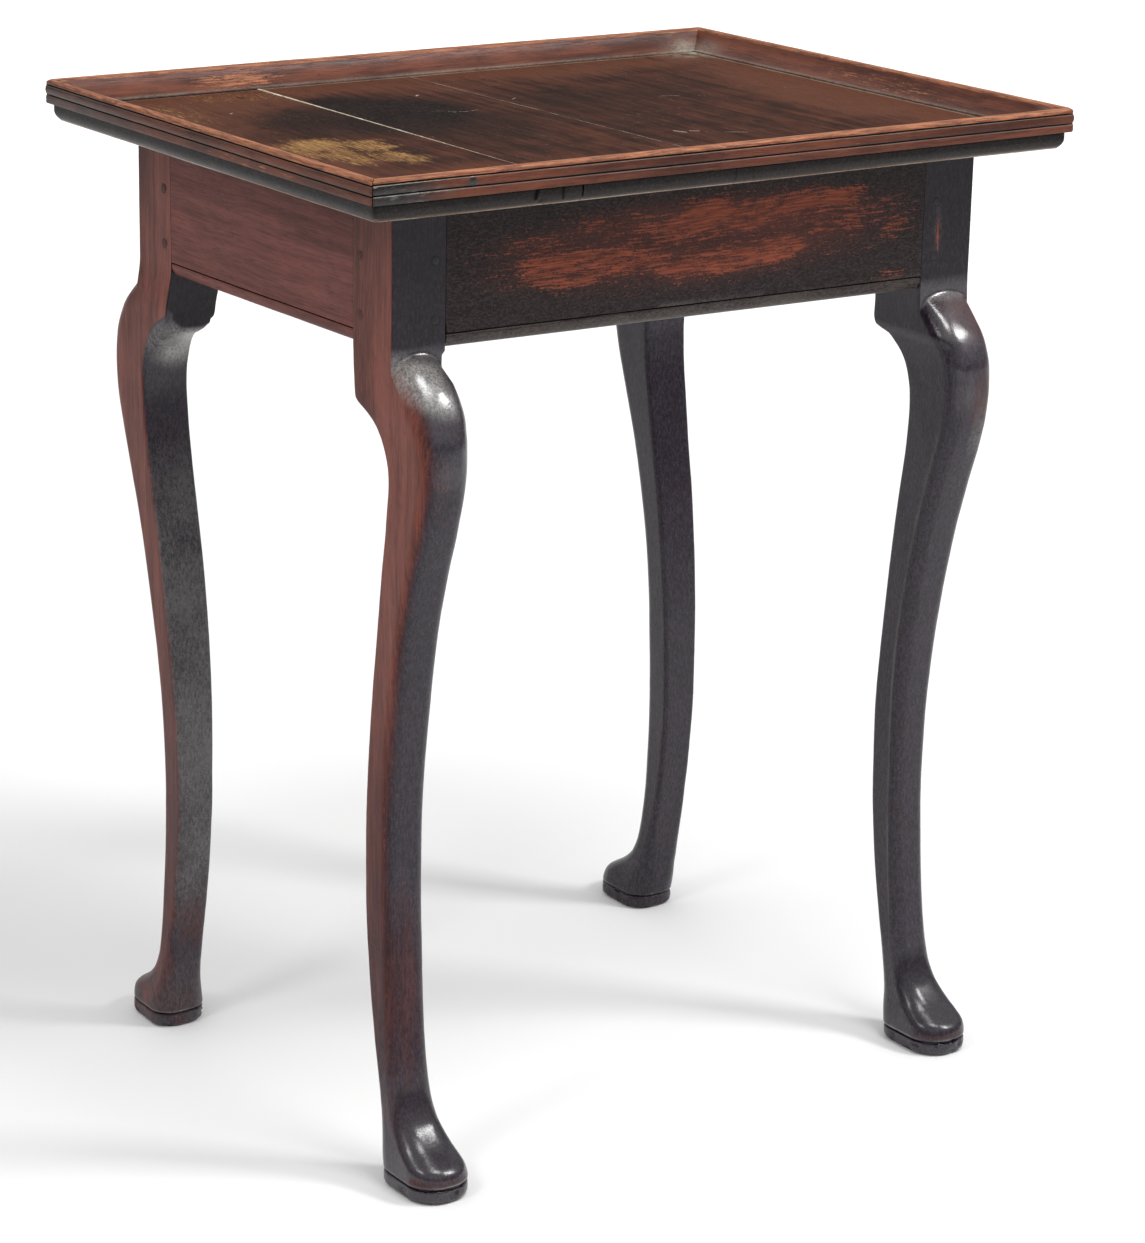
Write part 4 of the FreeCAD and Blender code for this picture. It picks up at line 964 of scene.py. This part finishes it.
def board(name, node, shell, cuts, seed):
    """Cuts one board out of the shell. cuts: (seam, shift, keep side)."""
    bm = bmesh.new()
    bm.from_mesh(shell)
    bmesh.ops.recalc_face_normals(bm, faces=bm.faces)
    for seam, shift, keep in cuts:
        p, q = seam
        d = Vector((q[0] - p[0], q[1] - p[1], 0)).normalized()
        no = Vector((d.y, -d.x, 0))            # points to +X
        at = Vector((p[0], p[1], 0)) / 1000 + no * (shift / 1000)
        geom = list(bm.verts) + list(bm.edges) + list(bm.faces)
        bmesh.ops.bisect_plane(bm, geom=geom, dist=1e-7, plane_co=at, plane_no=no,
                               clear_outer=keep < 0, clear_inner=keep > 0)
        rim = [e for e in bm.edges if e.is_boundary]
        new = bmesh.ops.holes_fill(bm, edges=rim, sides=0)["faces"]
        bmesh.ops.recalc_face_normals(bm, faces=bm.faces)
    me = bpy.data.meshes.new(name)
    bm.to_mesh(me)
    bm.free()
    nv = len(me.vertices)
    co = np.zeros(nv * 3)
    me.vertices.foreach_get("co", co)
    P = co.reshape(-1, 3) * 1000
    x, y, z = P[:, 0], P[:, 1], P[:, 2]
    d = np.minimum(TX - np.abs(x), TY - np.abs(y))
    top = (z > 692.9) & (d > 10.0)
    rim = ~top & (d < 10.5)
    ink_and_shade = np.where(rim, 0.97, 0.0)
    # the middle is stained dark, and a lighter band runs round the edge
    warpx, warpy = fbm(P / 70.0, seed, 2) * 26, fbm(P / 60.0 + 5, seed + 1, 2) * 22
    stain = np.maximum.reduce([
        blob(x + warpx, y + warpy, -92, 78, 70, 92, 0.98),
        blob(x + warpx, y + warpy, -112, 50, 92, 96, 0.66),
        blob(x + warpx, y + warpy, -165, 66, 70, 62, 0.60),
        blob(x + warpx, y + warpy, -70, 0, 70, 70, 0.50),
        blob(x + warpx, y + warpy, 75, 60, 95, 62, 0.44),
        blob(x + warpx, y + warpy, 40, -10, 100, 70, 0.34),
        blob(x + warpx, y + warpy, 165, 70, 60, 60, 0.34),
        blob(x + warpx, y + warpy, -205, 20, 60, 50, 0.42),
        blob(x, y, 62, 96, 22, 12, 0.62)])
    ink_and_shade = np.where(top, np.minimum(stain, 0.84), ink_and_shade)
    gx, gy = x + fbm(P / 9.0, seed + 3, 3) * 9, y + fbm(P / 11.0 + 3, seed + 4, 3) * 14
    gold = np.maximum.reduce([
        blob(gx, gy, -205, -16, 34, 30, 0.80), blob(gx, gy, -176, -34, 24, 30, 0.78),
        blob(gx, gy, -212, -60, 24, 44, 0.66), blob(gx, gy, -180, -78, 22, 34, 0.70),
        blob(gx, gy, -232, -30, 20, 40, 0.62), blob(gx, gy, -235, 140, 38, 60, 0.40),
        blob(gx, gy, -160, 180, 70, 26, 0.36)])
    wear = np.where(top, gold, 0)
    ink_and_shade = np.where(top, ink_and_shade * (1 - 0.8 * np.clip(gold * 1.4, 0, 1)), ink_and_shade)
    inner = np.minimum(TX - 19.5 - np.abs(x), TY - 19.5 - np.abs(y))
    dust_and_sheen = np.where(top, 0.5 * (1 - sstep(0.5, 4.5, inner)), 0)
    corner = np.exp(-(((x - 266) / 22) ** 2 + ((y - 199) / 20) ** 2))
    dust_and_sheen = dust_and_sheen + np.where(top, 0.9 * corner * (0.6 + 1.2 * fbm(P / 5.0, seed + 6, 3)), 0)
    tone = np.where(top, 0.75 * (1 - sstep(10, 90, inner + warpx)) - 0.15, 0)
    tone = tone + np.where(top, blob(x, y, 235, -20, 60, 140, 0.5) + blob(x, y, -215, 150, 75, 60, 0.6), 0)
    # painted highlight: a pale line along the bottom arris of the board's edge
    edge = np.where(rim & (z < 683.0) & (d > 7.0) & (d < 8.9), 1.0, 0)
    # painted shade: the top of the board's edge, tucked under the gallery's foot, is darkened
    quirk = np.where(rim & (z > 693.4), 0.8, 0)
    # an open joint along the foot of the back gallery, over the left board
    quirk = quirk + np.where(top & (y > 199.9) & (x < -126.5 + fbm(P / 3.0, 7, 2) * 2), 0.9, 0)
    for c, wd in ((-142.0, 0.45), (-4.9, 0.40)):
        quirk = np.maximum(quirk, np.where((np.abs(x - c) < wd) & (y < -TY + 12) & rim, 0.7, 0))
    for c in CRACKS_FRONT:
        quirk = np.maximum(quirk, np.where((np.abs(x - c - 2.2 * ((z - 684) / 10.0) ** 2) < 0.7) & (y < -TY + 12) & rim, 0.95, 0))
    for key, val in dict(ink_and_shade=ink_and_shade, wear=wear, dust_and_sheen=dust_and_sheen, edge=edge, quirk=quirk, tone=tone).items():
        at = me.attributes.new(key, "FLOAT", "POINT")
        at.data.foreach_set("value", np.asarray(val, np.float32))
    me.polygons.foreach_set("use_smooth", [True] * len(me.polygons))
    me.set_sharp_from_angle(angle=math.radians(38))
    me.update()
    o = bpy.data.objects.new(name, me)
    bpy.context.scene.collection.objects.link(o)
    return piece(o, [node], mat_board)


def board_extra(T, col, r, height, k):
    x, y, z = T.split(T.co)
    nx, ny, nz = T.split(T.nrm)
    up = T.rng(nz, 0.5, 0.8)
    # fine dry scratches, mostly along the boards
    co = T.v("MULTIPLY", T.v("ADD", T.co, T.v("SCALE", T.v("SUBTRACT", T.noise(T.co, 12.0, 2.0, 0.5, color=True), (0.5, 0.5, 0.5)), scale=0.03)), (1.0, 0.06, 1.0))
    hair = T.rng(T.noise(co, 1500.0, 2.0, 0.5), 0.66, 0.72)
    patch = T.rng(T.noise(T.co, 34.0, 3.0, 0.6), 0.50, 0.66)
    hair = T.m("MULTIPLY", T.m("MULTIPLY", hair, patch), up)
    marks = []
    wob = T.v("ADD", T.co, T.v("SCALE", T.v("SUBTRACT", T.noise(T.co, 160.0, 2.0, 0.5, color=True), (0.5, 0.5, 0.5)), scale=0.0012))
    for a, b, w in MARKS:
        marks.append(T.segment((*a, 694.0), (*b, 694.0), w, 0.6, wob))
    mark = T.m("MULTIPLY", T.m("MULTIPLY", T.most(*marks), up), T.rng(k["fine"], 0.32, 0.55, 0.15, 1.0))
    light = T.m("MAXIMUM", T.m("MULTIPLY", hair, 0.35), mark)
    col = T.mix(light, col, (0.50, 0.42, 0.33))
    seam = T.m("MULTIPLY", T.segment((*SEAM2[0], 694.0), (*SEAM2[1], 694.0), 0.42, 0.5), up)
    seam = T.m("MULTIPLY", seam, T.rng(T.noise(T.co, 60.0, 3.0, 0.6), 0.36, 0.56, 0.25, 0.85))
    col = T.mix(seam, col, (0.42, 0.34, 0.27))
    # small dark bruises
    spot = T.rng(T.cells(T.v("MULTIPLY", T.co, (1.0, 0.6, 1.0)), 22.0), 0.085, 0.04)
    col = T.mix(T.m("MULTIPLY", T.m("MULTIPLY", spot, up), 0.5), col, (0.006, 0.005, 0.005))
    # raw wood below
    under = T.rng(nz, -0.5, -0.8)
    raw = T.mix(T.rng(k["fibre"], 0.35, 0.65), (0.085, 0.045, 0.026), (0.17, 0.095, 0.055))
    col = T.mix(under, col, raw)
    r = T.m("MULTIPLY_ADD", under, T.m("SUBTRACT", 0.75, r), r)
    r = T.m("ADD", r, T.m("MULTIPLY", up, 0.14), clamp=True)
    height = T.m("MULTIPLY_ADD", hair, -0.5, T.m("MULTIPLY_ADD", mark, -0.7, height))
    return col, r, height


MARKS = [((-38.5, 124.0), (-35.0, 126.5), 0.7), ((-60.0, 62.0), (-44.0, 50.0), 0.22), ((-44.0, 50.0), (-32.0, 52.0), 0.22),
         ((41.0, -84.0), (45.0, -92.5), 0.8), ((51.0, -89.0), (56.0, -92.5), 0.7), ((70.0, -104.0), (84.0, -112.0), 0.35),
         ((16.0, 80.0), (21.0, 84.0), 0.35), ((-196.0, 118.0), (-192.0, 121.0), 0.5), ((120.0, 42.0), (134.0, 36.0), 0.22)]
mat_board = wood("board_wood", "y", (0.022, 0.0085, 0.0060), (0.098, 0.036, 0.021), (0.0062, 0.0036, 0.0032),
                 (0.29, 0.160, 0.062), dust_and_sheen=(0.34, 0.31, 0.24), edge=(0.55, 0.52, 0.47), spec=0.035,
                 rough=(0.34, 0.56), bump=1.1, speck=0.8, ink_noise=0.6, coat=(0.90, 0.97, 0.42), coat_rough=0.20,
                 rub=(1.5, 2.2, 1.0), rub_at=(0.34, 0.92), extra=board_extra)
shell = board_shell()
board("left_board", "top_board_left", shell, [(SEAM1, -0.6, -1)], 41)
board("middle_board", "top_board_middle", shell, [(SEAM1, 0.6, 1), (SEAM2, -0.12, -1)], 42)
board("right_board", "top_board_right", shell, [(SEAM2, 0.12, 1)], 43)
bpy.data.meshes.remove(shell)


# ---------------------------------------------------------------- gallery
def gallery_section():
    """(inset, height, painted shade in the quirks, painted highlight on the upper arrises, part) round the
    moulding. part: 0 base, 1 fillet, 2 band, 3 crest, 4 hollow."""
    pts = []
    pts += [(*p, 0, 0, 0) for p in line((19.4, 694.06), (1.5, 694.06), 7)]
    pts += [(0.95, 694.12, 0.3, 0, 1), (0.55, 694.3, 0.05, 0, 1), (0.38, 694.8, 0, 0, 1), (0.35, 696.2, 0, 0, 1),
            (0.35, 697.6, 0, 0, 1), (0.38, 698.6, 0, 0.1, 1), (0.5, 699.05, 0, 0.7, 1), (0.85, 699.4, 0.55, 0.4, 1),
            (1.35, 699.55, 0.5, 0.2, 1), (1.75, 699.75, 1, 0, 1), (1.7, 700.0, 1, 0, 2), (1.15, 700.2, 0.9, 0, 2),
            (0.8, 700.35, 0.6, 0, 2)]
    pts += [(d, z, 0, 0, 2) for d, z in arc((0.6, 700.55), (0.42, 705.6), 8.0, -1, 10)]
    pts += [(0.55, 705.95, 0, 0.7, 2), (0.9, 706.25, 0.5, 0.5, 2), (1.4, 706.4, 0.9, 0, 2), (1.85, 706.55, 1, 0, 2),
            (1.8, 706.8, 1, 0, 3), (1.25, 707.0, 0.9, 0, 3), (0.85, 707.25, 0.55, 0, 3), (0.72, 707.7, 0, 0, 3)]
    pts += [(d, z, 0, 0, 3) for d, z in arc((0.72, 708.75), (7.1, 708.75), 3.4, -1, 14)]
    pts += [(d, z, 0, 0, 4) for d, z in arc((7.6, 708.1), (19.45, 695.25), 34.0, 1, 16)]
    pts += [(19.5, 694.9, 0, 0, 4), (19.5, 694.4, 0.2, 0, 4)]
    return np.array(pts, float)


MITRE = {"FL": 0.50, "FR": 0.10, "BL": 0.12, "BR": 0.10}


def gallery(side):
    long_side = side in ("front", "back")
    sgn = -1 if side in ("front", "left") else 1
    ha, hb = (TX, TY) if long_side else (TY, TX)
    seed = {"front": 61, "back": 62, "left": 63, "right": 64}[side]
    sec = gallery_section()
    if side == "front":
        g0, g1 = MITRE["FL"], MITRE["FR"]
    elif side == "back":
        g0, g1 = MITRE["BL"], MITRE["BR"]
    elif side == "left":
        g0, g1 = MITRE["FL"], MITRE["BL"]
    else:
        g0, g1 = MITRE["FR"], MITRE["BR"]
    a = side_samples(ha, 3.6)
    a[0] += g0
    a[-1] -= g1
    s = a / ha
    S, D = np.meshgrid(s, sec[:, 0], indexing="ij")
    _, Z = np.meshgrid(s, sec[:, 1], indexing="ij")
    _, PART = np.meshgrid(s, sec[:, 4], indexing="ij")
    quirk = np.broadcast_to(sec[:, 2], S.shape).copy()
    edge = np.broadcast_to(sec[:, 3], S.shape).copy()
    # the quirks run out at the far corners, which are rubbed round
    end = {"front": (0, 1), "back": (1, 0), "left": (0, 1), "right": (1, 0)}[side]
    near = np.maximum(end[0] * sstep(-ha + 9, -ha + 3, S * ha), end[1] * sstep(ha - 9, ha - 3, S * ha))
    D = np.where((PART > 0) & (PART < 4) & (Z < 708), D + (np.minimum(D, 0.75) - D) * near, D)
    quirk = quirk * (1 - 0.35 * near)
    rad = np.where(PART < 4, (2.6 + 1.6 * near) * np.clip((8 - D) / 5, 0, 1), 0)
    along = S * ha
    # the moulding was scratched by hand: it wanders
    w1 = noise1(along / 62.0, seed, 3)
    w2 = noise1(along / 38.0, seed + 4, 3)
    D = D + (w2 * 0.16 + fbm(np.stack([along / 11.0, Z / 5.0, along * 0], -1), seed + 2, 2) * 0.10) * (PART > 0)
    fall = {"front": (0.55, 0.0), "left": (-0.2, 0.3)}.get(side, (0.0, 0.0))
    run = sstep(-ha, ha, along) if side == "front" else sstep(-ha, ha, along)
    drop = fall[0] * (1 - run) + fall[1] * run
    Z = Z + (w1 * 0.22 + drop) * (PART >= 1) * (PART <= 3) * sstep(694.3, 697, Z) * sstep(710.5, 707, Z)
    Z = np.where((PART == 3) | (PART == 4), np.minimum(Z, TOP), Z)
    Z = Z - (PART == 3) * sstep(709, 711, Z) * (0.5 + 0.5 * noise1(along / 90.0, seed + 8)) * 0.35
    D = np.where(PART > 0, np.maximum(D, 0.06), D)
    A, B = corner_map(S, ha, hb, D, rad)
    if long_side:
        P = np.stack([A, sgn * B, Z], -1)
    else:
        P = np.stack([sgn * B, A, Z], -1)
    x, y, z = P[..., 0], P[..., 1], P[..., 2]
    t = A
    crest, band, fillet, hollow = PART == 3, PART == 2, PART == 1, PART == 4
    tone = fbm(np.stack([t / 55.0, D / 6.0, t * 0 + seed], -1), seed + 6, 3) * 0.7
    tone = tone + np.where(crest, 0.35, 0)
    ink_and_shade = np.where(crest, 0.10, 0) + np.where(band, 0.32, 0) + np.where(fillet, 0.34, 0) + np.where(hollow, 0.12, 0)
    wear = np.where(crest, 0.68, 0) + np.where(band, 0.14, 0) + np.where(fillet, 0.12, 0) + np.where(hollow, 0.06, 0)
    wear = wear + np.where(crest, 0.22 * sstep(709.0, 710.6, z), 0)
    dust_and_sheen = np.where(hollow, 0.35 * (1 - sstep(695.0, 697.0, z)), 0.0)
    ink_and_shade = ink_and_shade + np.where(hollow, 0.25 * sstep(705, 695, z), 0)
    ink_and_shade = ink_and_shade + np.where(z < 694.1, 0.6, 0)
    # the open mitre at the near corner, with painted shade in its gap
    if side in ("front", "left"):
        quirk = np.where((PART > 0) & (PART < 4), np.maximum(quirk, sstep(-ha + 1.1, -ha + 0.75, t + D)), quirk)
    if side == "front":
        dark_l = sstep(-212, -272, x)
        # painted highlights near the left corner: brighter arrises, pale lines on the quirks' lips and scattered pale
        # glints on the band
        edge = edge + np.where(crest | band | fillet, 0.5 * edge * dark_l, 0)
        ink_and_shade = ink_and_shade + np.where(band | fillet, 0.45 * dark_l, 0)
        ink_and_shade = ink_and_shade + np.where(band, blob(x, z, -214.5, 700, 4, 8, 0.9), 0)
        lip = np.broadcast_to(sec[:, 3], S.shape) * sstep(-196, -232, x)
        spots = fbm(np.stack([along / 7.0, Z / 1.6, along * 0 + 4], -1), 77, 3)
        dust_and_sheen = dust_and_sheen + np.where(band | fillet | crest, lip * (0.75 + 1.2 * spots) + 0.55 * sstep(0.30, 0.55, spots) * dark_l * (z < 707.5), 0)
        wear = wear * (1 - np.where(band, 0.8 * dark_l, 0))
        tone = tone + np.where(band, -0.5 * sstep(60, 200, x), 0)
    if side == "left":
        ink_and_shade = ink_and_shade + np.where(band | fillet | crest, 0.22 * sstep(-20, 190, y), 0)
        wear = wear + np.where(crest, 0.18 * blob(y, z, -90, 709, 110, 6), 0) - np.where(crest, 0.2 * sstep(0, 190, y), 0)
        wear = wear + np.where(fillet | band, blob(y, z, -60, 697, 70, 5, 0.22), 0)
    if side == "back":
        wear = wear + np.where(hollow, blob(x, z, -140, 701, 46, 6, 0.66), 0)
        tone = tone + np.where(hollow, 0.15 * sstep(20, -200, x) - 0.3 * sstep(120, 250, x), 0)
        dust_and_sheen = dust_and_sheen + np.where(hollow, 0.55 * np.exp(-((x - 262) / 16) ** 2) * sstep(707, 698, z), 0)
    if side == "right":
        wear = wear + np.where(hollow, blob(y, z, -20, 700, 90, 7, 0.34), 0)
        dust_and_sheen = dust_and_sheen + np.where(hollow, 0.4 * np.exp(-((y - 192) / 16) ** 2) * sstep(707, 698, z), 0)
        dust_and_sheen = dust_and_sheen + np.where(hollow, 0.35 * np.exp(-((y + 200) / 8) ** 2), 0)
    attrs = dict(ink_and_shade=np.clip(ink_and_shade, 0, 1), wear=np.clip(wear, 0, 1), dust_and_sheen=dust_and_sheen, edge=edge * 0.8, quirk=quirk, tone=tone)
    nu, nv = P.shape[:2]
    o = mesh("%s_gallery" % side, P.reshape(-1, 3), tube_faces(nu, nv), attrs, 42)
    return piece(o, ["gallery_" + side], mat_gal_x if long_side else mat_gal_y)


for side in ("front", "back", "left", "right"):
    gallery(side)


# ---------------------------------------------------------------- pegs, brads, filler, blocks
def joined(name, solids, angle=40.0):
    """One mesh of several closed solids, each (points, faces) in millimetres."""
    co, faces = [], []
    for P, F in solids:
        base = len(co)
        co += [tuple(p) for p in P]
        faces += [tuple(base + i for i in f) for f in F]
    return mesh(name, co, faces, None, angle)


def rod(origin, direction, profile, n, seed, rough, turn=0.0):
    """A closed solid of revolution-like rings along direction: profile is (distance,
    radius) and the outline is uneven."""
    o, w = np.array(origin, float), np.array(direction, float)
    ref = np.array([0, 0, 1.0]) if abs(w[2]) < 0.9 else np.array([1.0, 0, 0])
    u = np.cross(ref, w)
    u /= np.linalg.norm(u)
    v = np.cross(w, u)
    th = np.linspace(0, 2 * math.pi, n, endpoint=False) + turn
    # riven, so nearly octagonal
    shape = 1 + rough * (np.cos(4 * (th - turn)) * 0.45 + noise1(th * 1.3 + seed * 5.7, seed, 2) * 0.9)
    rings = []
    for d, r in profile:
        tilt = (np.cos(th) * 0.05 + np.sin(th) * 0.04) * rough * 3 if r > 0.5 else 0
        rings.append(o + w * (d + tilt * r * 0.3)[:, None] if np.ndim(tilt) else o + w * d)
        rings[-1] = rings[-1] + np.outer(np.cos(th) * shape * r, u) + np.outer(np.sin(th) * shape * r, v)
    P = np.array(rings)
    F = tube_faces(len(profile), n)
    return P.reshape(-1, 3), F


for side in ("front", "back", "left", "right"):
    solids = []
    sgn = -1 if side in ("front", "left") else 1
    for hand in (-1, 1):
        for lev in (643.5, 604.5):
            seed = int(lev) + hand * 3 + {"front": 0, "back": 50, "left": 90, "right": 130}[side]
            off = vnoise(np.array([seed * 1.37, 0.3, 0.8]), 5)
            prof = [(-22.0, 2.2), (-21.0, 2.7), (-2.0, 2.85), (-0.5, 2.85), (0.05, 2.75), (0.20, 2.45), (0.26, 1.8), (0.28, 0.8)]
            if side in ("front", "back"):
                org, dr = (hand * 208.5, sgn * FY, lev), (0, sgn, 0)
            else:
                org, dr = (sgn * FX, hand * 131.5, lev), (sgn, 0, 0)
            solids.append(rod(org, dr, prof, 20, seed, 0.085, off * 1.5))
    o = joined("%s_pegs" % side, solids)
    piece(o, ["pegs_" + side], mat_peg if side in ("front", "back") else mat_peg_side)

solids = []
places = [(x, s * (TY - 12.5)) for s in (-1, 1) for x in (-205, -70, 70, 205)]
places += [(s * (TX - 12.5), y) for s in (-1, 1) for y in (-140, 0, 140)]
for n, (x, y) in enumerate(places):
    jig = vnoise(np.array([[n * 3.3, 0.2, 0.5], [n * 2.1, 7.7, 0.9]]), 77)
    solids.append(rod((x + jig[0] * 0.2, y + jig[1] * 0.2, 684.0), (0, 0, 1),
                      [(0, 0.35), (1.5, 0.8), (13.6, 0.82), (14.6, 1.15), (15.5, 1.45), (16.0, 1.35), (16.3, 0.95), (16.4, 0.4)],
                      14, n + 300, 0.16, n * 0.7))
o = joined("gallery_brads", solids)
piece(o, ["gallery_brads"], mat_iron)

# the filler in the open seam: wide and lumpy at the back, thin at the front
ry = TY - 19.6
ys = np.arange(-ry, ry + 0.1, 1.5)
run = (SEAM1[1][0] - SEAM1[0][0]) / (2 * TY)
cx = -126.0 + run * ys
wide = np.interp(ys, [-ry, -120, 0, 120, 185, ry], [0.16, 0.26, 0.50, 0.80, 1.10, 1.5])
wide = wide * (1 + 0.35 * noise1(ys / 5.0, 71, 3))
shift = noise1(ys / 9.0, 72, 3) * 0.16
high = 694.0 + 0.05 + np.interp(ys, [-ry, 0, ry], [0.0, 0.05, 0.22]) + noise1(ys / 4.0, 73, 3) * 0.08
rings = []
for y, c, w, s, h in zip(ys, cx, wide, shift, high):
    w0 = 0.55
    rings.append([(c - w0, y, 690.2), (c + w0, y, 690.2), (c + w0, y, 693.6), (c + s + w, y, 693.75), (c + s + w * 0.75, y, h - 0.06),
                  (c + s + w * 0.2, y, h), (c + s - w * 0.3, y, h + 0.01), (c + s - w * 0.8, y, h - 0.07), (c + s - w, y, 693.75),
                  (c - w0, y, 693.6)])
P = np.array(rings)
o = mesh("seam_filler_strip", P.reshape(-1, 3), tube_faces(len(P), P.shape[1]), None, 60)
piece(o, ["seam_filler"], mat_filler)


def block(side, place, seed):
    """A rubbed-in glue block: five-sided, sawn a little out of square."""
    long_side = side in ("front", "back")
    sgn = -1 if side in ("front", "left") else 1
    a = (FY if long_side else FX) - 22.0
    sec = []
    corners = [(a - 0.05, 681.95), (a - 17.7, 681.95), (a - 17.7, 677.2), (a - 5.2, 664.3), (a - 0.05, 664.3)]
    for i in range(5):
        p, q = np.array(corners[i]), np.array(corners[(i + 1) % 5])
        n = max(4, int(np.linalg.norm(q - p) / 1.6))
        e = 0.5 / np.linalg.norm(q - p)
        for t in np.concatenate([[e], np.linspace(e, 1 - e, n)[1:-1], [1 - e]]):
            sec.append(p + (q - p) * t)
    sec = np.array(sec)
    ls = np.concatenate([[-27.4, -27.2, -26.6], np.linspace(-25, 25, 26), [26.6, 27.2, 27.4]])
    mid = sec.mean(0)
    rings = []
    for t in ls:
        k = 1 - 0.035 * sstep(26.4, 27.4, abs(t))
        r = mid + (sec - mid) * k
        q = np.stack([np.full(len(r), t), r[:, 0], r[:, 1]], -1)
        free = sstep(a - 0.5, a - 3, r[:, 0]) * sstep(681.5, 679, r[:, 1])
        w = fbm(q / 6.0 + seed, seed, 3)[:, None] * 0.30 * free[:, None]
        r = r + (r - mid) / np.maximum(np.linalg.norm(r - mid, axis=1, keepdims=True), 1e-6) * (w - 0.15 * free[:, None])
        out = sgn * r[:, 0]
        rings.append(np.stack([np.full(len(r), place + t), out, r[:, 1]], -1) if long_side
                     else np.stack([out, np.full(len(r), place + t), r[:, 1]], -1))
    P = np.array(rings)
    return P.reshape(-1, 3), tube_faces(P.shape[0], P.shape[1])


for side in ("front", "back", "left", "right"):
    at = (-120.0, 0.0, 120.0) if side in ("front", "back") else (-62.0, 62.0)
    o = joined("%s_glue_blocks" % side, [block(side, p, 400 + i * 7 + len(side)) for i, p in enumerate(at)], 35)
    piece(o, ["glue_blocks_" + side], mat_block_x if side in ("front", "back") else mat_block_y)

# ---------------------------------------------------------------- floor, light, camera
bpy.ops.mesh.primitive_plane_add(size=24.0, location=(0, 0, 0))
floor = bpy.context.object
floor.name = "floor"
T = Tree("floor_paper")
g = T.noise(T.co, 3.0, 2.0, 0.5)
floor.data.materials.append(T.shader(color=T.mix(g, (0.90, 0.90, 0.90), (0.93, 0.93, 0.93)), rough=0.9, spec=0.1))

world = bpy.data.worlds.new("studio")
bpy.context.scene.world = world
world.use_nodes = True
bg = world.node_tree.nodes["Background"]
bg.inputs[0].default_value = (1.0, 1.0, 1.0, 1.0)
# a studio that is bright overhead and dim along the walls
wt = world.node_tree
sep = wt.nodes.new("ShaderNodeSeparateXYZ")
wt.links.new(wt.nodes.new("ShaderNodeTexCoord").outputs["Generated"], sep.inputs[0])
ramp = wt.nodes.new("ShaderNodeMapRange")
ramp.interpolation_type = "SMOOTHSTEP"
for key, value in (("From Min", 0.08), ("From Max", 0.72), ("To Min", 0.27), ("To Max", 0.84)):
    ramp.inputs[key].default_value = value
wt.links.new(sep.outputs[2], ramp.inputs["Value"])
wt.links.new(ramp.outputs[0], bg.inputs[1])


def softbox(name, at, target, size, power, spread=180.0):
    L = bpy.data.lights.new(name, "AREA")
    L.shape = "RECTANGLE"
    L.size, L.size_y = size
    L.energy = power
    L.spread = math.radians(spread)
    o = bpy.data.objects.new(name, L)
    bpy.context.scene.collection.objects.link(o)
    o.location = at
    d = Vector(target) - Vector(at)
    o.rotation_euler = d.to_track_quat("-Z", "Y").to_euler()
    return o


softbox("key", (1.42, -1.40, 2.40), (0, 0, 0.4), (0.50, 0.70), 33.0)
softbox("overhead", (0.2, -1.0, 3.0), (0, 0, 0.4), (0.7, 0.6), 20.0)
softbox("left", (-2.0, -0.55, 2.3), (0, 0, 0.4), (0.5, 0.5), 11.0)
softbox("backdrop", (2.9, 4.4, 3.4), (2.9, 4.4, 0.0), (5.0, 5.0), 70.0, 90.0)

yaw, pitch, roll = math.radians(34.935), math.radians(17.32), math.radians(1.21)
fwd = Vector((math.sin(yaw) * math.cos(pitch), math.cos(yaw) * math.cos(pitch), -math.sin(pitch)))
right = Vector((math.cos(yaw), -math.sin(yaw), 0))
up = right.cross(fwd)
r2 = math.cos(roll) * right + math.sin(roll) * up
u2 = -math.sin(roll) * right + math.cos(roll) * up
cam = bpy.data.cameras.new("camera")
cam.sensor_fit = "VERTICAL"
cam.sensor_height = 36.0
cam.sensor_width = 36.0
cam.lens = 106.49
cam.clip_start, cam.clip_end = 0.05, 60.0
co = bpy.data.objects.new("camera", cam)
bpy.context.scene.collection.objects.link(co)
m = Matrix.Identity(4)
for i in range(3):
    m[i][0], m[i][1], m[i][2] = r2[i], u2[i], -fwd[i]
m[0][3], m[1][3], m[2][3] = -1.4585, -2.1206, 1.1254
co.matrix_world = m
bpy.context.scene.camera = co
bpy.context.scene.view_settings.view_transform = "Standard"
bpy.context.scene.view_settings.look = "None"
bpy.context.scene.view_settings.exposure = 0.0
bpy.context.scene.view_settings.gamma = 1.0
